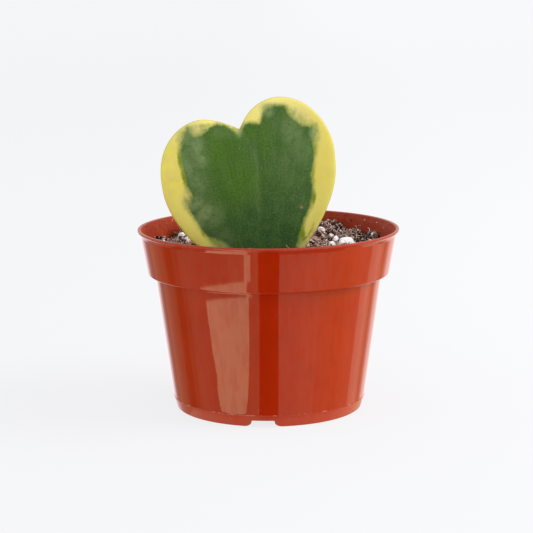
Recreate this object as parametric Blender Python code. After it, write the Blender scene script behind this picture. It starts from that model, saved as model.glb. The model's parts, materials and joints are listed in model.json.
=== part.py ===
"""A sweetheart hoya: one thick heart-shaped leaf, rooted in peat mix in a moulded plastic nursery pot.

Metres, +Z up. The origin is the centre of the pot's foot, on the ground. The leaf faces -Y.
"""

import math

import bmesh
import bpy
from mathutils import Quaternion, Vector, noise

MM = 0.001

# The pot, a thin moulding turned about Z.
POT_HEIGHT = 72.0 * MM
WALL = 1.0 * MM
LIP_RADIUS = 52.0 * MM
LIP_THICKNESS = 1.0 * MM
COLLAR_TOP_RADIUS = 50.0 * MM
COLLAR_TOP = POT_HEIGHT - 2.5 * MM
COLLAR_BOTTOM_RADIUS = 47.4 * MM
COLLAR_BOTTOM = 54.3 * MM
COLLAR_CORNER = 0.8 * MM
BODY_TOP_RADIUS = 44.4 * MM
BODY_TOP = COLLAR_BOTTOM - 0.6 * MM
BODY_BOTTOM_RADIUS = 38.1 * MM
MOULD_LINE = 4.6 * MM
FOOT_RADIUS = 37.0 * MM
FOOT_WALL = 1.4 * MM
FLOOR_UNDERSIDE = 3.1 * MM
FLOOR_TOP = FLOOR_UNDERSIDE + WALL
TURN_SEGMENTS = 72  # the same round the pot and the mix, so that their facets stay parallel

# Openings in the foot and the floor.
NOTCHES = 4
NOTCH_TURN = math.radians(-3.8)
NOTCH_WIDTH = 9.0 * MM
NOTCH_HEIGHT = 2.6 * MM
NOTCH_ROUNDING = 1.4 * MM
DRAIN_HOLES = 8
DRAIN_RADIUS = 3.2 * MM
DRAIN_RING_RADIUS = 26.0 * MM

# The potting mix and what is buried in it. GAP keeps neighbouring solids apart.
GAP = 0.3 * MM
SEAT_MARGIN = 1.4 * GAP
MIX_LEVEL = 63.0 * MM
MIX_LUMPS = 0.9 * MM
MIX_LUMP_SIZE = 9.0 * MM
MIX_BANK = 1.6 * MM
MIX_RINGS = 11

# The leaf stands on its point, leaning back and to the left.
LEAF_BASE = Vector((-2.2, 0.0, 50.0)) * MM
LEAF_LEAN = math.radians(4.0)
LEAF_TILT = math.radians(8.2)
LEAF_CENTRE = Vector((0.0, 38.0)) * MM
LEAF_THICKNESS = 2.8 * MM
LEAF_RIM = 0.7 * MM
LEAF_CUPPING = 1.4 * MM
MIDRIB_CREASE = 0.35 * MM
MIDRIB_WIDTH = 1.6 * MM
LEAF_SPOKES = 64
LEAF_RINGS = (0.3, 0.6, 0.82, 0.94, 1.0)

# Half outlines from the stalk to the notch at the leaf's tip: across and along the midrib, in millimetres.
RIGHT_LOBE = ((2.3, 0.0), (9.5, 4.6), (18.4, 11.2), (25.6, 19.4), (31.4, 28.4), (35.0, 39.0),
              (35.7, 49.6), (31.6, 61.9), (21.8, 70.9), (15.1, 72.2), (8.2, 70.1), (2.6, 65.6), (-0.3, 61.6))
LEFT_LOBE = ((-2.3, 0.0), (-9.5, 6.4), (-17.6, 13.0), (-25.5, 19.7), (-31.2, 29.3), (-34.1, 40.6),
             (-33.0, 53.0), (-27.8, 61.8), (-20.0, 66.9), (-13.4, 67.3), (-7.2, 65.6), (-2.6, 62.9),
             (-0.3, 61.6))

STALK_LENGTH = 18.0 * MM
STALK_RADIUS = 2.1 * MM
CALLUS_RADIUS = 2.7 * MM
CALLUS_DEPTH = 3.0 * MM
ROOT_COUNT = 6
ROOT_REACH = 24.0 * MM
ROOT_DROP = 17.0 * MM
ROOT_RADIUS = 0.75 * MM

# Perlite grains in plain sight: place across and back, and width, in millimetres.
GRAINS_IN_VIEW = (
    (33.0, 21.5, 6.6),
    (23.0, 28.0, 2.4),
    (27.4, 20.0, 2.6),
    (-36.6, 24.0, 2.4),
    (-33.3, 21.0, 2.8),
)
GRAINS_SCATTERED = 22
GOLDEN_ANGLE = math.radians(137.508)


def clear_scene():
    for old in list(bpy.data.objects):
        bpy.data.objects.remove(old)


def material(name, colour, roughness):
    made = bpy.data.materials.new(name)
    made.use_nodes = True
    shader = made.node_tree.nodes["Principled BSDF"]
    shader.inputs["Base Color"].default_value = (*colour, 1.0)
    shader.inputs["Roughness"].default_value = roughness
    shader.inputs["Metallic"].default_value = 0.0
    return made


def solid(name, mesh, finish=None):
    """An object for a finished bmesh, with its faces turned outwards."""
    bmesh.ops.recalc_face_normals(mesh, faces=mesh.faces)
    data = bpy.data.meshes.new(name)
    mesh.to_mesh(data)
    mesh.free()
    made = bpy.data.objects.new(name, data)
    bpy.context.scene.collection.objects.link(made)
    if finish:
        data.materials.append(finish)
        data.shade_smooth()
        data.set_sharp_from_angle(angle=math.radians(35))
    return made


def cut(target, cutter):
    """Takes the cutter's shape out of the target and hides the cutter."""
    cutter.hide_render = True
    cutter.display_type = "WIRE"
    boolean = target.modifiers.new(cutter.name, "BOOLEAN")
    boolean.operation = "DIFFERENCE"
    boolean.object = cutter


def bridge(mesh, lower, upper):
    """Faces between two rings of vertices, either of which may be a single point."""
    count = max(len(lower), len(upper))
    for i in range(count):
        j = (i + 1) % count
        corners = [lower[i % len(lower)], lower[j % len(lower)], upper[j % len(upper)], upper[i % len(upper)]]
        mesh.faces.new(list(dict.fromkeys(corners)))


def turned(profile):
    """Turns a profile of (radius, height) about Z. It starts and ends on the axis."""
    mesh = bmesh.new()
    angles = [2 * math.pi * i / TURN_SEGMENTS for i in range(TURN_SEGMENTS)]
    rings = []
    for radius, height in profile:
        spokes = angles if radius > 0 else [0.0]
        rings.append([mesh.verts.new((radius * math.cos(a), radius * math.sin(a), height)) for a in spokes])
    for lower, upper in zip(rings, rings[1:]):
        bridge(mesh, lower, upper)
    return mesh


def tube(mesh, path, radii, sides):
    """Adds a closed tube of changing radius along a path of points, carrying its frame along untwisted."""
    circle = [Vector((math.cos(a), math.sin(a), 0)) for a in (2 * math.pi * k / sides for k in range(sides))]
    turn, before = Quaternion(), Vector((0, 0, 1))
    rings = []
    for i, (point, radius) in enumerate(zip(path, radii)):
        along = (path[min(i + 1, len(path) - 1)] - path[max(i - 1, 0)]).normalized()
        turn = before.rotation_difference(along) @ turn
        before = along
        rings.append([mesh.verts.new(point + turn @ spoke * radius) for spoke in circle])
    for lower, upper in zip(rings, rings[1:]):
        bridge(mesh, lower, upper)
    mesh.faces.new(rings[0])
    mesh.faces.new(rings[-1])


def body_radius(height):
    """The pot's outer radius on the straight taper between the mould line and the collar."""
    share = (height - MOULD_LINE) / (BODY_TOP - MOULD_LINE)
    return BODY_BOTTOM_RADIUS + share * (BODY_TOP_RADIUS - BODY_BOTTOM_RADIUS)


def inner_wall():
    """The inside of the pot from the floor to the top of the collar, as (radius, height)."""
    fillet = 1.2 * MM
    return [
        (body_radius(FLOOR_TOP) - WALL - fillet, FLOOR_TOP),
        (body_radius(FLOOR_TOP + fillet) - WALL, FLOOR_TOP + fillet),
        (BODY_TOP_RADIUS - WALL, COLLAR_BOTTOM + WALL - 0.4 * MM),
        (COLLAR_BOTTOM_RADIUS - WALL, COLLAR_BOTTOM + WALL + 0.4 * MM),
        (COLLAR_TOP_RADIUS - WALL, COLLAR_TOP),
    ]


def collar_corner():
    """The rounded lower edge of the collar band."""
    centre_radius = COLLAR_BOTTOM_RADIUS - COLLAR_CORNER
    angles = [math.radians(a) for a in (-80, -50, -25, 0)]
    return [
        (centre_radius + COLLAR_CORNER * math.cos(a), COLLAR_BOTTOM + COLLAR_CORNER * (1 + math.sin(a)))
        for a in angles
    ]


def make_pot():
    lip_bottom = POT_HEIGHT - LIP_THICKNESS
    profile = [
        (0.0, FLOOR_UNDERSIDE),
        (FOOT_RADIUS - FOOT_WALL, FLOOR_UNDERSIDE),
        (FOOT_RADIUS - FOOT_WALL, 0.0),
        (FOOT_RADIUS, 0.0),
        (BODY_BOTTOM_RADIUS, MOULD_LINE),
        (BODY_TOP_RADIUS, BODY_TOP),
        *collar_corner(),
        (COLLAR_TOP_RADIUS, COLLAR_TOP),
        (COLLAR_TOP_RADIUS + 0.5 * MM, lip_bottom - 0.4 * MM),
        (LIP_RADIUS - 0.3 * MM, lip_bottom),
        (LIP_RADIUS, lip_bottom + 0.35 * MM),
        (LIP_RADIUS - 0.25 * MM, POT_HEIGHT),
        (COLLAR_TOP_RADIUS, POT_HEIGHT - 0.2 * MM),
        *reversed(inner_wall()),
        (0.0, FLOOR_TOP),
    ]
    pot = solid("pot", turned(profile), material("terracotta_plastic", (0.42, 0.06, 0.02), 0.25))
    cut(pot, foot_notches())
    cut(pot, drain_holes())
    return pot


def foot_notches():
    """Arched blocks that open the foot ring, wider at the ground where the plastic's corners are rounded."""
    half = NOTCH_WIDTH / 2
    corner = [math.radians(a) for a in (12, 40, 65, 90)]
    right = [
        (half + NOTCH_ROUNDING * (1 - math.sin(a)), NOTCH_ROUNDING * (1 - math.cos(a))) for a in corner
    ]
    below = [(half + NOTCH_ROUNDING, -MM)]
    top = [(half, NOTCH_HEIGHT - 0.3 * MM), (half - 0.3 * MM, NOTCH_HEIGHT)]
    half_outline = below + right + top
    outline = half_outline + [(-x, z) for x, z in reversed(half_outline)]
    mesh = bmesh.new()
    for k in range(NOTCHES):
        azimuth = NOTCH_TURN + 2 * math.pi * k / NOTCHES
        outward = Vector((math.cos(azimuth), math.sin(azimuth), 0))
        across = Vector((-math.sin(azimuth), math.cos(azimuth), 0))
        rings = [
            [mesh.verts.new(outward * depth + across * x + Vector((0, 0, z))) for x, z in outline]
            for depth in (FOOT_RADIUS - 4 * MM, FOOT_RADIUS + 3 * MM)
        ]
        bridge(mesh, *rings)
        for ring in rings:
            mesh.faces.new(ring)
    return solid("foot_notches", mesh)


def drain_holes():
    mesh = bmesh.new()
    for k in range(DRAIN_HOLES + 1):
        azimuth = 2 * math.pi * (k + 0.5) / DRAIN_HOLES
        centre = Vector((math.cos(azimuth), math.sin(azimuth), 0)) * DRAIN_RING_RADIUS * (k < DRAIN_HOLES)
        ends = [centre + Vector((0, 0, z)) for z in (FLOOR_UNDERSIDE - MM, FLOOR_TOP + MM)]
        tube(mesh, ends, (DRAIN_RADIUS, DRAIN_RADIUS), 16)
    return solid("drain_holes", mesh)


def mix_lift(x, y):
    """How far the mix's clumpy surface stands above its level, banked up a little towards the back."""
    lumps = noise.noise(Vector((x, y, 0.0)) / MIX_LUMP_SIZE + Vector((0, 0, 3.3)))
    bank = max(0.0, y) / COLLAR_TOP_RADIUS
    return MIX_LUMPS * lumps + MIX_BANK * bank


def make_potting_mix(buried):
    """A plug that follows the pot's inside, less the gap, with a seat cut for each buried piece."""
    wall = inner_wall()
    lowest_edge = MIX_LEVEL - MIX_LUMPS
    edge_share = (lowest_edge - wall[3][1]) / (wall[4][1] - wall[3][1])
    edge = wall[3][0] + edge_share * (wall[4][0] - wall[3][0]) - GAP
    sides = [(radius - GAP, height + GAP) for radius, height in wall[:4]]
    surface = [(edge * (1 - k / MIX_RINGS), MIX_LEVEL) for k in range(MIX_RINGS + 1)]
    mesh = turned([(0.0, FLOOR_TOP + GAP), *sides, *surface])
    for vert in mesh.verts:
        if vert.co.z > sides[-1][1] + MM:
            vert.co.z += mix_lift(vert.co.x, vert.co.y)
    mix = solid("potting_mix", mesh, material("peat_mix", (0.03, 0.017, 0.01), 0.95))
    for seat in buried:
        cut(mix, seat)
    return mix


def smooth_through(points, steps):
    """A Catmull-Rom curve through the points, as a list with the given steps between each two."""
    padded = [2 * points[0] - points[1], *points, 2 * points[-1] - points[-2]]
    curve = []
    for a, b, c, d in zip(padded, padded[1:], padded[2:], padded[3:]):
        for k in range(steps):
            t = k / steps
            curve.append(0.5 * (2 * b + (c - a) * t + (2 * a - 5 * b + 4 * c - d) * t**2
                                + (3 * b - a - 3 * c + d) * t**3))
    curve.append(points[-1])
    return curve


def leaf_outline():
    """The heart as a closed loop, up the right side and down the left, spaced evenly."""
    right = smooth_through([Vector(p) * MM for p in RIGHT_LOBE], 8)
    left = smooth_through([Vector(p) * MM for p in LEFT_LOBE], 8)
    half = LEAF_SPOKES // 2
    return evenly(right, half)[:-1] + evenly(left[::-1], half + 1)


def evenly(curve, count):
    """The curve again as this many points, equal lengths apart."""
    lengths = [0.0]
    for a, b in zip(curve, curve[1:]):
        lengths.append(lengths[-1] + (b - a).length)
    spaced, at = [], 0
    for k in range(count):
        wanted = lengths[-1] * k / (count - 1)
        while at < len(curve) - 2 and lengths[at + 1] < wanted:
            at += 1
        share = (wanted - lengths[at]) / (lengths[at + 1] - lengths[at])
        spaced.append(curve[at].lerp(curve[at + 1], share))
    return spaced


def grown(outline, margin):
    """The outline moved outwards along its own normals."""
    moved = []
    for i, point in enumerate(outline):
        along = outline[(i + 1) % len(outline)] - outline[i - 1]
        moved.append(point + Vector((along.y, -along.x)).normalized() * margin)
    return moved


def blade_midplane(point):
    """How far the middle of the blade lies behind its flat plane: edges swept back, midrib pressed in."""
    sweep = (point.x / COLLAR_BOTTOM_RADIUS) ** 2 * LEAF_CUPPING
    return sweep + MIDRIB_CREASE * math.exp(-((point.x / MIDRIB_WIDTH) ** 2))


def blade(margin):
    """The leaf's thick blade in its own frame, X across, Z along the midrib, grown by a margin all round."""
    outline = grown(leaf_outline(), margin)
    mesh = bmesh.new()
    faces_of = []
    for side in (-1, 1):
        rings = []
        for share in (0.0, *LEAF_RINGS):
            fullness = math.sqrt(max(0.0, 1 - share**4))
            swell = (LEAF_RIM + (LEAF_THICKNESS - LEAF_RIM) * fullness) / 2 + margin
            spots = outline if share > 0 else [LEAF_CENTRE]
            flat = [LEAF_CENTRE.lerp(spot, share) for spot in spots]
            rings.append([mesh.verts.new((p.x, blade_midplane(p) + side * swell, p.y)) for p in flat])
        for inner, outer in zip(rings, rings[1:]):
            bridge(mesh, inner, outer)
        faces_of.append(rings[-1])
    bridge(mesh, *faces_of)
    return mesh


def stalk(margin):
    """The petiole below the blade, thickening to the callus at its cut end."""
    steps = 8
    mesh = bmesh.new()
    path, radii = [], []
    for k in range(steps + 1):
        t = k / steps
        bend = 0.9 * MM * math.sin(math.pi * t) ** 4
        path.append(Vector((bend, 0, (margin - GAP) * (1 - t) - (STALK_LENGTH + margin) * t)))
        radii.append(STALK_RADIUS + (CALLUS_RADIUS - STALK_RADIUS) * t**3 + margin)
    tube(mesh, path, radii, 12)
    return mesh


def root_path(index):
    """One root from the callus: outwards and down, with a slow wave."""
    azimuth = index * GOLDEN_ANGLE
    outward = Vector((math.cos(azimuth), math.sin(azimuth), 0))
    across = Vector((-math.sin(azimuth), math.cos(azimuth), 0))
    reach = ROOT_REACH * (0.7 + 0.3 * math.sin(index * 2.1) ** 2)
    drop = ROOT_DROP * (0.6 + 0.4 * math.cos(index * 1.7) ** 2)
    steps = 9
    return [
        outward * reach * t**1.3
        + across * 1.8 * MM * t * math.sin(4.5 * t + index)
        - Vector((0, 0, CALLUS_DEPTH / 2 + drop * t**0.8))
        for t in (k / steps for k in range(steps + 1))
    ]


def root_solid(name, margin, finish=None):
    """All the roots and the ring of callus they grow from, joined into one body."""
    crown = bmesh.new()
    ends = [Vector((0, 0, margin)), Vector((0, 0, -CALLUS_DEPTH - margin))]
    tube(crown, ends, [CALLUS_RADIUS + margin] * 2, 12)
    joined = solid(name, crown, finish)
    for index in range(ROOT_COUNT):
        mesh = bmesh.new()
        path = root_path(index)
        path[-1] += (path[-1] - path[-2]).normalized() * margin
        radii = [ROOT_RADIUS * (1 - 0.55 * k / len(path)) + margin for k in range(len(path))]
        tube(mesh, path, radii, 7)
        strand = solid(f"{name}_strand_{index + 1}", mesh)
        strand.parent = joined
        cut(joined, strand)
        joined.modifiers[-1].operation = "UNION"
    return joined


def grain(width, index, margin=0.0):
    """A crumb of perlite: a ball with an uneven skin, never quite the same twice."""
    mesh = bmesh.new()
    bmesh.ops.create_icosphere(mesh, subdivisions=2 if width > 4 * MM else 1, radius=width / 2)
    for vert in mesh.verts:
        out = vert.co.normalized()
        uneven = 1 + 0.22 * noise.noise(out * 1.4 + Vector((index * 3.7, 0, 0)))
        vert.co = vert.co * uneven + out * margin
        vert.co.z *= 0.85
    return mesh


def grain_places():
    """(x, y, width) of every grain: those in view, then a sunflower scatter clear of them and of the leaf."""
    places = [tuple(value * MM for value in spot) for spot in GRAINS_IN_VIEW]
    for k in range(GRAINS_SCATTERED):
        radius = 44 * MM * math.sqrt((k + 0.5) / GRAINS_SCATTERED)
        x, y = radius * math.cos(k * GOLDEN_ANGLE), radius * math.sin(k * GOLDEN_ANGLE)
        width = (2.2 + 2.0 * math.sin(k * 1.9) ** 2) * MM
        near_leaf = abs(y) < 6 * MM and abs(x) < 34 * MM
        crowded = any(math.hypot(x - other[0], y - other[1]) < 7 * MM for other in places)
        if not (near_leaf or crowded):
            places.append((x, y, width))
    return places


def place_in_leaf_frame(piece, frame, offset=(0, 0, 0)):
    piece.parent = frame
    piece.location = offset
    return piece


def leaf_frame():
    """An empty at the leaf's base, tilted in the leaf's own plane and then leaned back."""
    frame = bpy.data.objects.new("leaf_frame", None)
    bpy.context.scene.collection.objects.link(frame)
    frame.location = LEAF_BASE
    frame.rotation_mode = "YXZ"
    frame.rotation_euler = (-LEAF_LEAN, -LEAF_TILT, 0)
    return frame


def make_plant(frame):
    """The leaf, its stalk and its roots, and the three seats they need in the mix."""
    leaf_green = material("leaf_green", (0.07, 0.13, 0.03), 0.4)
    stalk_green = material("stalk_green", (0.16, 0.2, 0.07), 0.5)
    root_cream = material("root_cream", (0.6, 0.5, 0.33), 0.8)
    below_stalk = Vector((0, 0, -STALK_LENGTH - GAP))
    place_in_leaf_frame(solid("heart_leaf", blade(0.0), leaf_green), frame)
    place_in_leaf_frame(solid("leaf_stalk", stalk(0.0), stalk_green), frame)
    place_in_leaf_frame(root_solid("roots", 0.0, root_cream), frame, below_stalk)
    return [
        place_in_leaf_frame(solid("leaf_seat", blade(SEAT_MARGIN)), frame),
        place_in_leaf_frame(solid("stalk_seat", stalk(SEAT_MARGIN)), frame),
        place_in_leaf_frame(root_solid("root_seat", SEAT_MARGIN), frame, below_stalk),
    ]


def make_perlite():
    """Each grain sunk past its middle in the mix, and the seat that all of them share."""
    white = material("perlite_white", (0.8, 0.78, 0.74), 0.9)
    seats = bmesh.new()
    for index, (x, y, width) in enumerate(grain_places()):
        centre = Vector((x, y, MIX_LEVEL + mix_lift(x, y) + 0.08 * width))
        made = solid(f"perlite_{index + 1:02d}", grain(width, index), white)
        made.location = centre
        shape = grain(width, index, SEAT_MARGIN)
        bmesh.ops.translate(shape, verts=shape.verts, vec=centre)
        data = bpy.data.meshes.new("seat")
        shape.to_mesh(data)
        shape.free()
        seats.from_mesh(data)
        bpy.data.meshes.remove(data)
    return solid("perlite_seats", seats)


clear_scene()
make_pot()
seats = make_plant(leaf_frame())
make_potting_mix([*seats, make_perlite()])
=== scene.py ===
# %% [markdown]
# # A sweetheart hoya in its nursery pot
# The object is one thick heart-shaped leaf, rooted in a peat mix, in a small moulded plastic pot.
# The engineering model of it is already made. This lesson loads that model as a fixed frame and
# gives each piece the surface of the real thing: glossy plastic, waxy leaf, crumbly peat, perlite.
# Everything is in metres, and MM turns millimetres, which suit an object of this size, into metres.

# %% Load the frame
import json
import math

import bmesh
import bpy
import numpy as np
from mathutils import Matrix, Vector, noise

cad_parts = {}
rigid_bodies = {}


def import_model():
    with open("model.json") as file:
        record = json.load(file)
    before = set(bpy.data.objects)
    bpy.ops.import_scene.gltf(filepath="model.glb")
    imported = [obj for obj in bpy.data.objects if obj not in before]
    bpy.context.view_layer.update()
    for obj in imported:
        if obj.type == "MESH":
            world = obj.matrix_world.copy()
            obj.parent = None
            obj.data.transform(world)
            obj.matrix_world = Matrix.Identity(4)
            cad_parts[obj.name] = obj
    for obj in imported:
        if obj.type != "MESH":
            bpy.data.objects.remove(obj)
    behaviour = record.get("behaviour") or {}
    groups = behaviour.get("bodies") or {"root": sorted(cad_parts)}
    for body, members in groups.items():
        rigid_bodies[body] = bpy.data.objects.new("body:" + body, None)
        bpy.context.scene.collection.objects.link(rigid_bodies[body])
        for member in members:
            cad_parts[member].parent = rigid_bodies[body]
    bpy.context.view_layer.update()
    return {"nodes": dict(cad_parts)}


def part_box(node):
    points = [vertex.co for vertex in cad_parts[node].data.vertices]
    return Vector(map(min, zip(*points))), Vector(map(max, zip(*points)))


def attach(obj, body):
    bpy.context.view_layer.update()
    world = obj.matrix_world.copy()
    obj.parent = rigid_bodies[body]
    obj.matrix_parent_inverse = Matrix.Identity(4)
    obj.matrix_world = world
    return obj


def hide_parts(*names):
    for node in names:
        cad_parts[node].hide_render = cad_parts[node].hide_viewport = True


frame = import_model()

MM = 0.001

# %% [markdown]
# ## The camera
# A small plant shows best from a little above the rim, and from far enough away that the pot's
# sides hardly converge. A long lens at 0.7 m does that. The camera aims at a point near the pot's
# axis and is placed by its distance and by how far it looks down. These odd values come from a
# least-squares fit of the camera to the view wanted.

# %% Place the camera
def add_object(name, data):
    """A new object in the scene, at the origin."""
    made = bpy.data.objects.new(name, data)
    bpy.context.scene.collection.objects.link(made)
    return made


LOOK_DOWN = math.radians(10.092)
CAMERA_ROLL = math.radians(-0.344)
CAMERA_DISTANCE = 706.9 * MM
AIM = Vector((-0.8, 0.0, 56.1)) * MM

camera_data = bpy.data.cameras.new("camera")
camera_data.lens = 119.5
camera_data.sensor_width = 36
camera = add_object("camera", camera_data)
camera.location = AIM + Vector((0, -math.cos(LOOK_DOWN), math.sin(LOOK_DOWN))) * CAMERA_DISTANCE
upright = Matrix.Rotation(math.pi / 2 - LOOK_DOWN, 3, "X")
camera.rotation_euler = (upright @ Matrix.Rotation(CAMERA_ROLL, 3, "Z")).to_euler()
bpy.context.scene.camera = camera
bpy.context.scene.view_settings.view_transform = "Standard"
print("camera at", [round(value, 3) for value in camera.location])

# %% [markdown]
# ## A helper for node trees
# Materials and Geometry Nodes are both node trees, and both are long-winded to write out. This
# small class adds a node, sets its inputs and links whatever inputs are outputs of other nodes,
# all in one call, so that a recipe below reads in the order in which it is worked out.

# %% Write node trees briefly
def srgb(red, green, blue):
    """A colour as painters' software gives it, 0 to 255, in the linear values that shaders use."""
    return tuple(((value / 255 + 0.055) / 1.055) ** 2.4 for value in (red, green, blue)) + (1.0,)


class Recipe:
    """A node tree that is written one ingredient at a time."""

    def __init__(self, tree):
        self.tree = tree

    def add(self, kind, inputs=(), **settings):
        made = self.tree.nodes.new(kind)
        for name, value in settings.items():
            setattr(made, name, value)
        for key, value in dict(inputs).items():
            self.feed(made.inputs[key], value)
        return made

    def feed(self, socket, value):
        if isinstance(value, bpy.types.NodeSocket):
            self.tree.links.new(value, socket)
        else:
            socket.default_value = value

    def maths(self, operation, *values):
        return self.add("ShaderNodeMath", enumerate(values), operation=operation).outputs[0]

    def times(self, first, second):
        return self.maths("MULTIPLY", first, second)

    def line(self, value, slope, offset):
        """The value on a straight line: value times slope, plus offset."""
        return self.maths("MULTIPLY_ADD", value, slope, offset)

    def vectors(self, operation, *values):
        return self.add("ShaderNodeVectorMath", enumerate(values), operation=operation)

    def scaled(self, vector, factor):
        """The vector with each of its parts multiplied by that part of the factor."""
        return self.vectors("MULTIPLY", vector, factor).outputs[0]

    def stretched(self, vector, number):
        """The vector multiplied by one number."""
        node = self.vectors("SCALE", vector)
        self.feed(node.inputs["Scale"], number)
        return node.outputs[0]

    def length(self, vector):
        return self.vectors("LENGTH", vector).outputs["Value"]

    def split(self, vector):
        return self.add("ShaderNodeSeparateXYZ", {0: vector}).outputs

    def joined(self, x=0.0, y=0.0, z=0.0):
        return self.add("ShaderNodeCombineXYZ", {"X": x, "Y": y, "Z": z}).outputs[0]

    def on_object(self):
        """Where a surface point is on its object."""
        return self.add("ShaderNodeTexCoord").outputs["Object"]

    def grain(self, where, size, detail=2.0, roughness=0.5):
        """Noise between 0 and 1 whose lumps are about this size, in metres."""
        inputs = {"Vector": where, "Scale": 1 / size, "Detail": detail, "Roughness": roughness}
        return self.add("ShaderNodeTexNoise", inputs).outputs[0]

    def ramp(self, value, low, high, to_low=0.0, to_high=1.0):
        """Takes value from low..high to to_low..to_high, easing at both ends."""
        inputs = {0: value, 1: low, 2: high, 3: to_low, 4: to_high}
        return self.add("ShaderNodeMapRange", inputs, interpolation_type="SMOOTHSTEP").outputs[0]

    def blend(self, share, first, second, how="MIX"):
        node = self.add("ShaderNodeMix", data_type="RGBA", blend_type=how)
        for number, value in ((0, share), (6, first), (7, second)):
            self.feed(node.inputs[number], value)
        return node.outputs[2]

    def layers(self, colour, *coats):
        """Lays coats of colour over the first one, each given as (share, colour)."""
        for share, coat_colour in coats:
            colour = self.blend(share, colour, coat_colour)
        return colour

    def attribute(self, name, output="Fac"):
        return self.add("ShaderNodeAttribute", attribute_name=name).outputs[output]

    def specks(self, where, spacing, radius, share):
        """Small round dots, one to a cell of this spacing, in this share of the cells."""
        cells = self.add("ShaderNodeTexVoronoi", {"Vector": where, "Scale": 1 / spacing})
        near = self.ramp(cells.outputs["Distance"], radius / spacing, 0.5 * radius / spacing)
        chosen = self.add("ShaderNodeSeparateColor", {0: cells.outputs["Color"]}).outputs[0]
        return self.times(near, self.maths("LESS_THAN", chosen, share))


def new_material(name, roughness, ior=1.5):
    """A Principled material with its recipe: returns the material, the recipe and the shader."""
    made = bpy.data.materials.new(name)
    made.use_nodes = True
    shader = made.node_tree.nodes["Principled BSDF"]
    shader.inputs["Roughness"].default_value = roughness
    shader.inputs["IOR"].default_value = ior
    return made, Recipe(made.node_tree), shader


def bumped(recipe, shader, layers):
    """Feeds the shader's normal with bumps, each of a (height, depth in metres)."""
    normal = None
    for height, depth in layers:
        inputs = {"Height": height, "Distance": depth, "Strength": 1.0}
        if normal:
            inputs["Normal"] = normal
        normal = recipe.add("ShaderNodeBump", inputs).outputs[0]
    recipe.feed(shader.inputs["Normal"], normal)


# %% [markdown]
# ## The studio
# A plain pale floor and a plain pale surrounding light the plant evenly from all sides, and one
# large soft lamp on the right makes that side of the pot brighter. Glossy plastic shows more than
# light: it mirrors the room and the table. Studios shape this with white and black cards. Here the
# room is a ring of glowing bands and the cards lie on the table, all seen by reflections only.
# One card is nearly black: it makes the deep red stripe down the front of the pot.

# %% Lay the floor and light it
FLOOR_SIDE = 60.0
DOME_RADIUS = 2.8
PAPER = (0.985, 0.985, 1.0, 1.0)


def stage_piece(name, mesh, material):
    made = add_object(name, mesh)
    mesh.materials.append(material)
    return made


def glow(name, colour, strength):
    """A material that only shines."""
    made = bpy.data.materials.new(name)
    made.use_nodes = True
    tree = made.node_tree
    tree.nodes.clear()
    recipe = Recipe(tree)
    shining = recipe.add("ShaderNodeEmission", {"Color": colour, "Strength": strength})
    recipe.add("ShaderNodeOutputMaterial", {"Surface": shining.outputs[0]})
    made.cycles.emission_sampling = "NONE"
    return made


def flat_mesh(name, corners, height):
    mesh = bpy.data.meshes.new(name)
    mesh.from_pydata([(x, y, height) for x, y in corners], [], [list(range(len(corners)))])
    return mesh


half = FLOOR_SIDE / 2
floor_corners = [(-half, -half), (half, -half), (half, half), (-half, half)]
paper, recipe, shader = new_material("pale_paper", 0.9)
shader.inputs["Base Color"].default_value = (0.12, 0.123, 0.126, 1.0)
shader.inputs["Specular IOR Level"].default_value = 0.0
shader.inputs["Emission Color"].default_value = PAPER
# The floor glows as well as reflecting, and that glow is painted light: it rises a little further out, where
# the lamp's light fades, and towards the right, the lamp's side. Most of the floor's brightness is this
# glow, so the pot's shadow on it stays faint.
place = recipe.on_object()
away = recipe.ramp(recipe.length(place), 0.4, 4.0, 0.81, 0.835)
rightwards = recipe.ramp(recipe.split(place)[0], -0.15, 0.25, -0.01, 0.02)
recipe.feed(shader.inputs["Emission Strength"], recipe.maths("ADD", away, rightwards))
paper.cycles.emission_sampling = "NONE"
floor = stage_piece("floor", flat_mesh("floor", floor_corners, -0.02 * MM), paper)
floor.visible_glossy = False

world = bpy.data.worlds.new("studio")
bpy.context.scene.world = world
world.use_nodes = True
world.node_tree.nodes["Background"].inputs["Color"].default_value = (0.95, 0.975, 1.0, 1.0)
world.node_tree.nodes["Background"].inputs["Strength"].default_value = 0.86

lamp_data = bpy.data.lights.new("soft_lamp", "AREA")
lamp_data.shape = "RECTANGLE"
lamp_data.size = 0.9
lamp_data.size_y = 0.9
lamp_data.energy = 16.5
lamp_data.color = (1.0, 0.97, 0.93)
lamp = add_object("soft_lamp", lamp_data)
lamp.location = (1.25, -0.1, 0.75)
lamp.rotation_euler = (AIM - lamp.location).to_track_quat("-Z", "Y").to_euler()
lamp.visible_glossy = False
print("floor", FLOOR_SIDE, "m square, lamp", lamp_data.size, "m square")

# %% [markdown]
# Polished plastic is hard to light, because every pale streak on it is a picture of something. A
# painted texture of streaks would stay put when the view turns, so real things are mirrored
# instead. Each band of the room is a strip of a wide cylinder round the pot, from one azimuth to
# another in degrees, where -90 is towards the camera and 0 is to the right. The pot's wall leans
# outwards, so it mirrors what is low: the bands hang below the level of the table, and the floor
# is left out of reflections so that they show.

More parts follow.
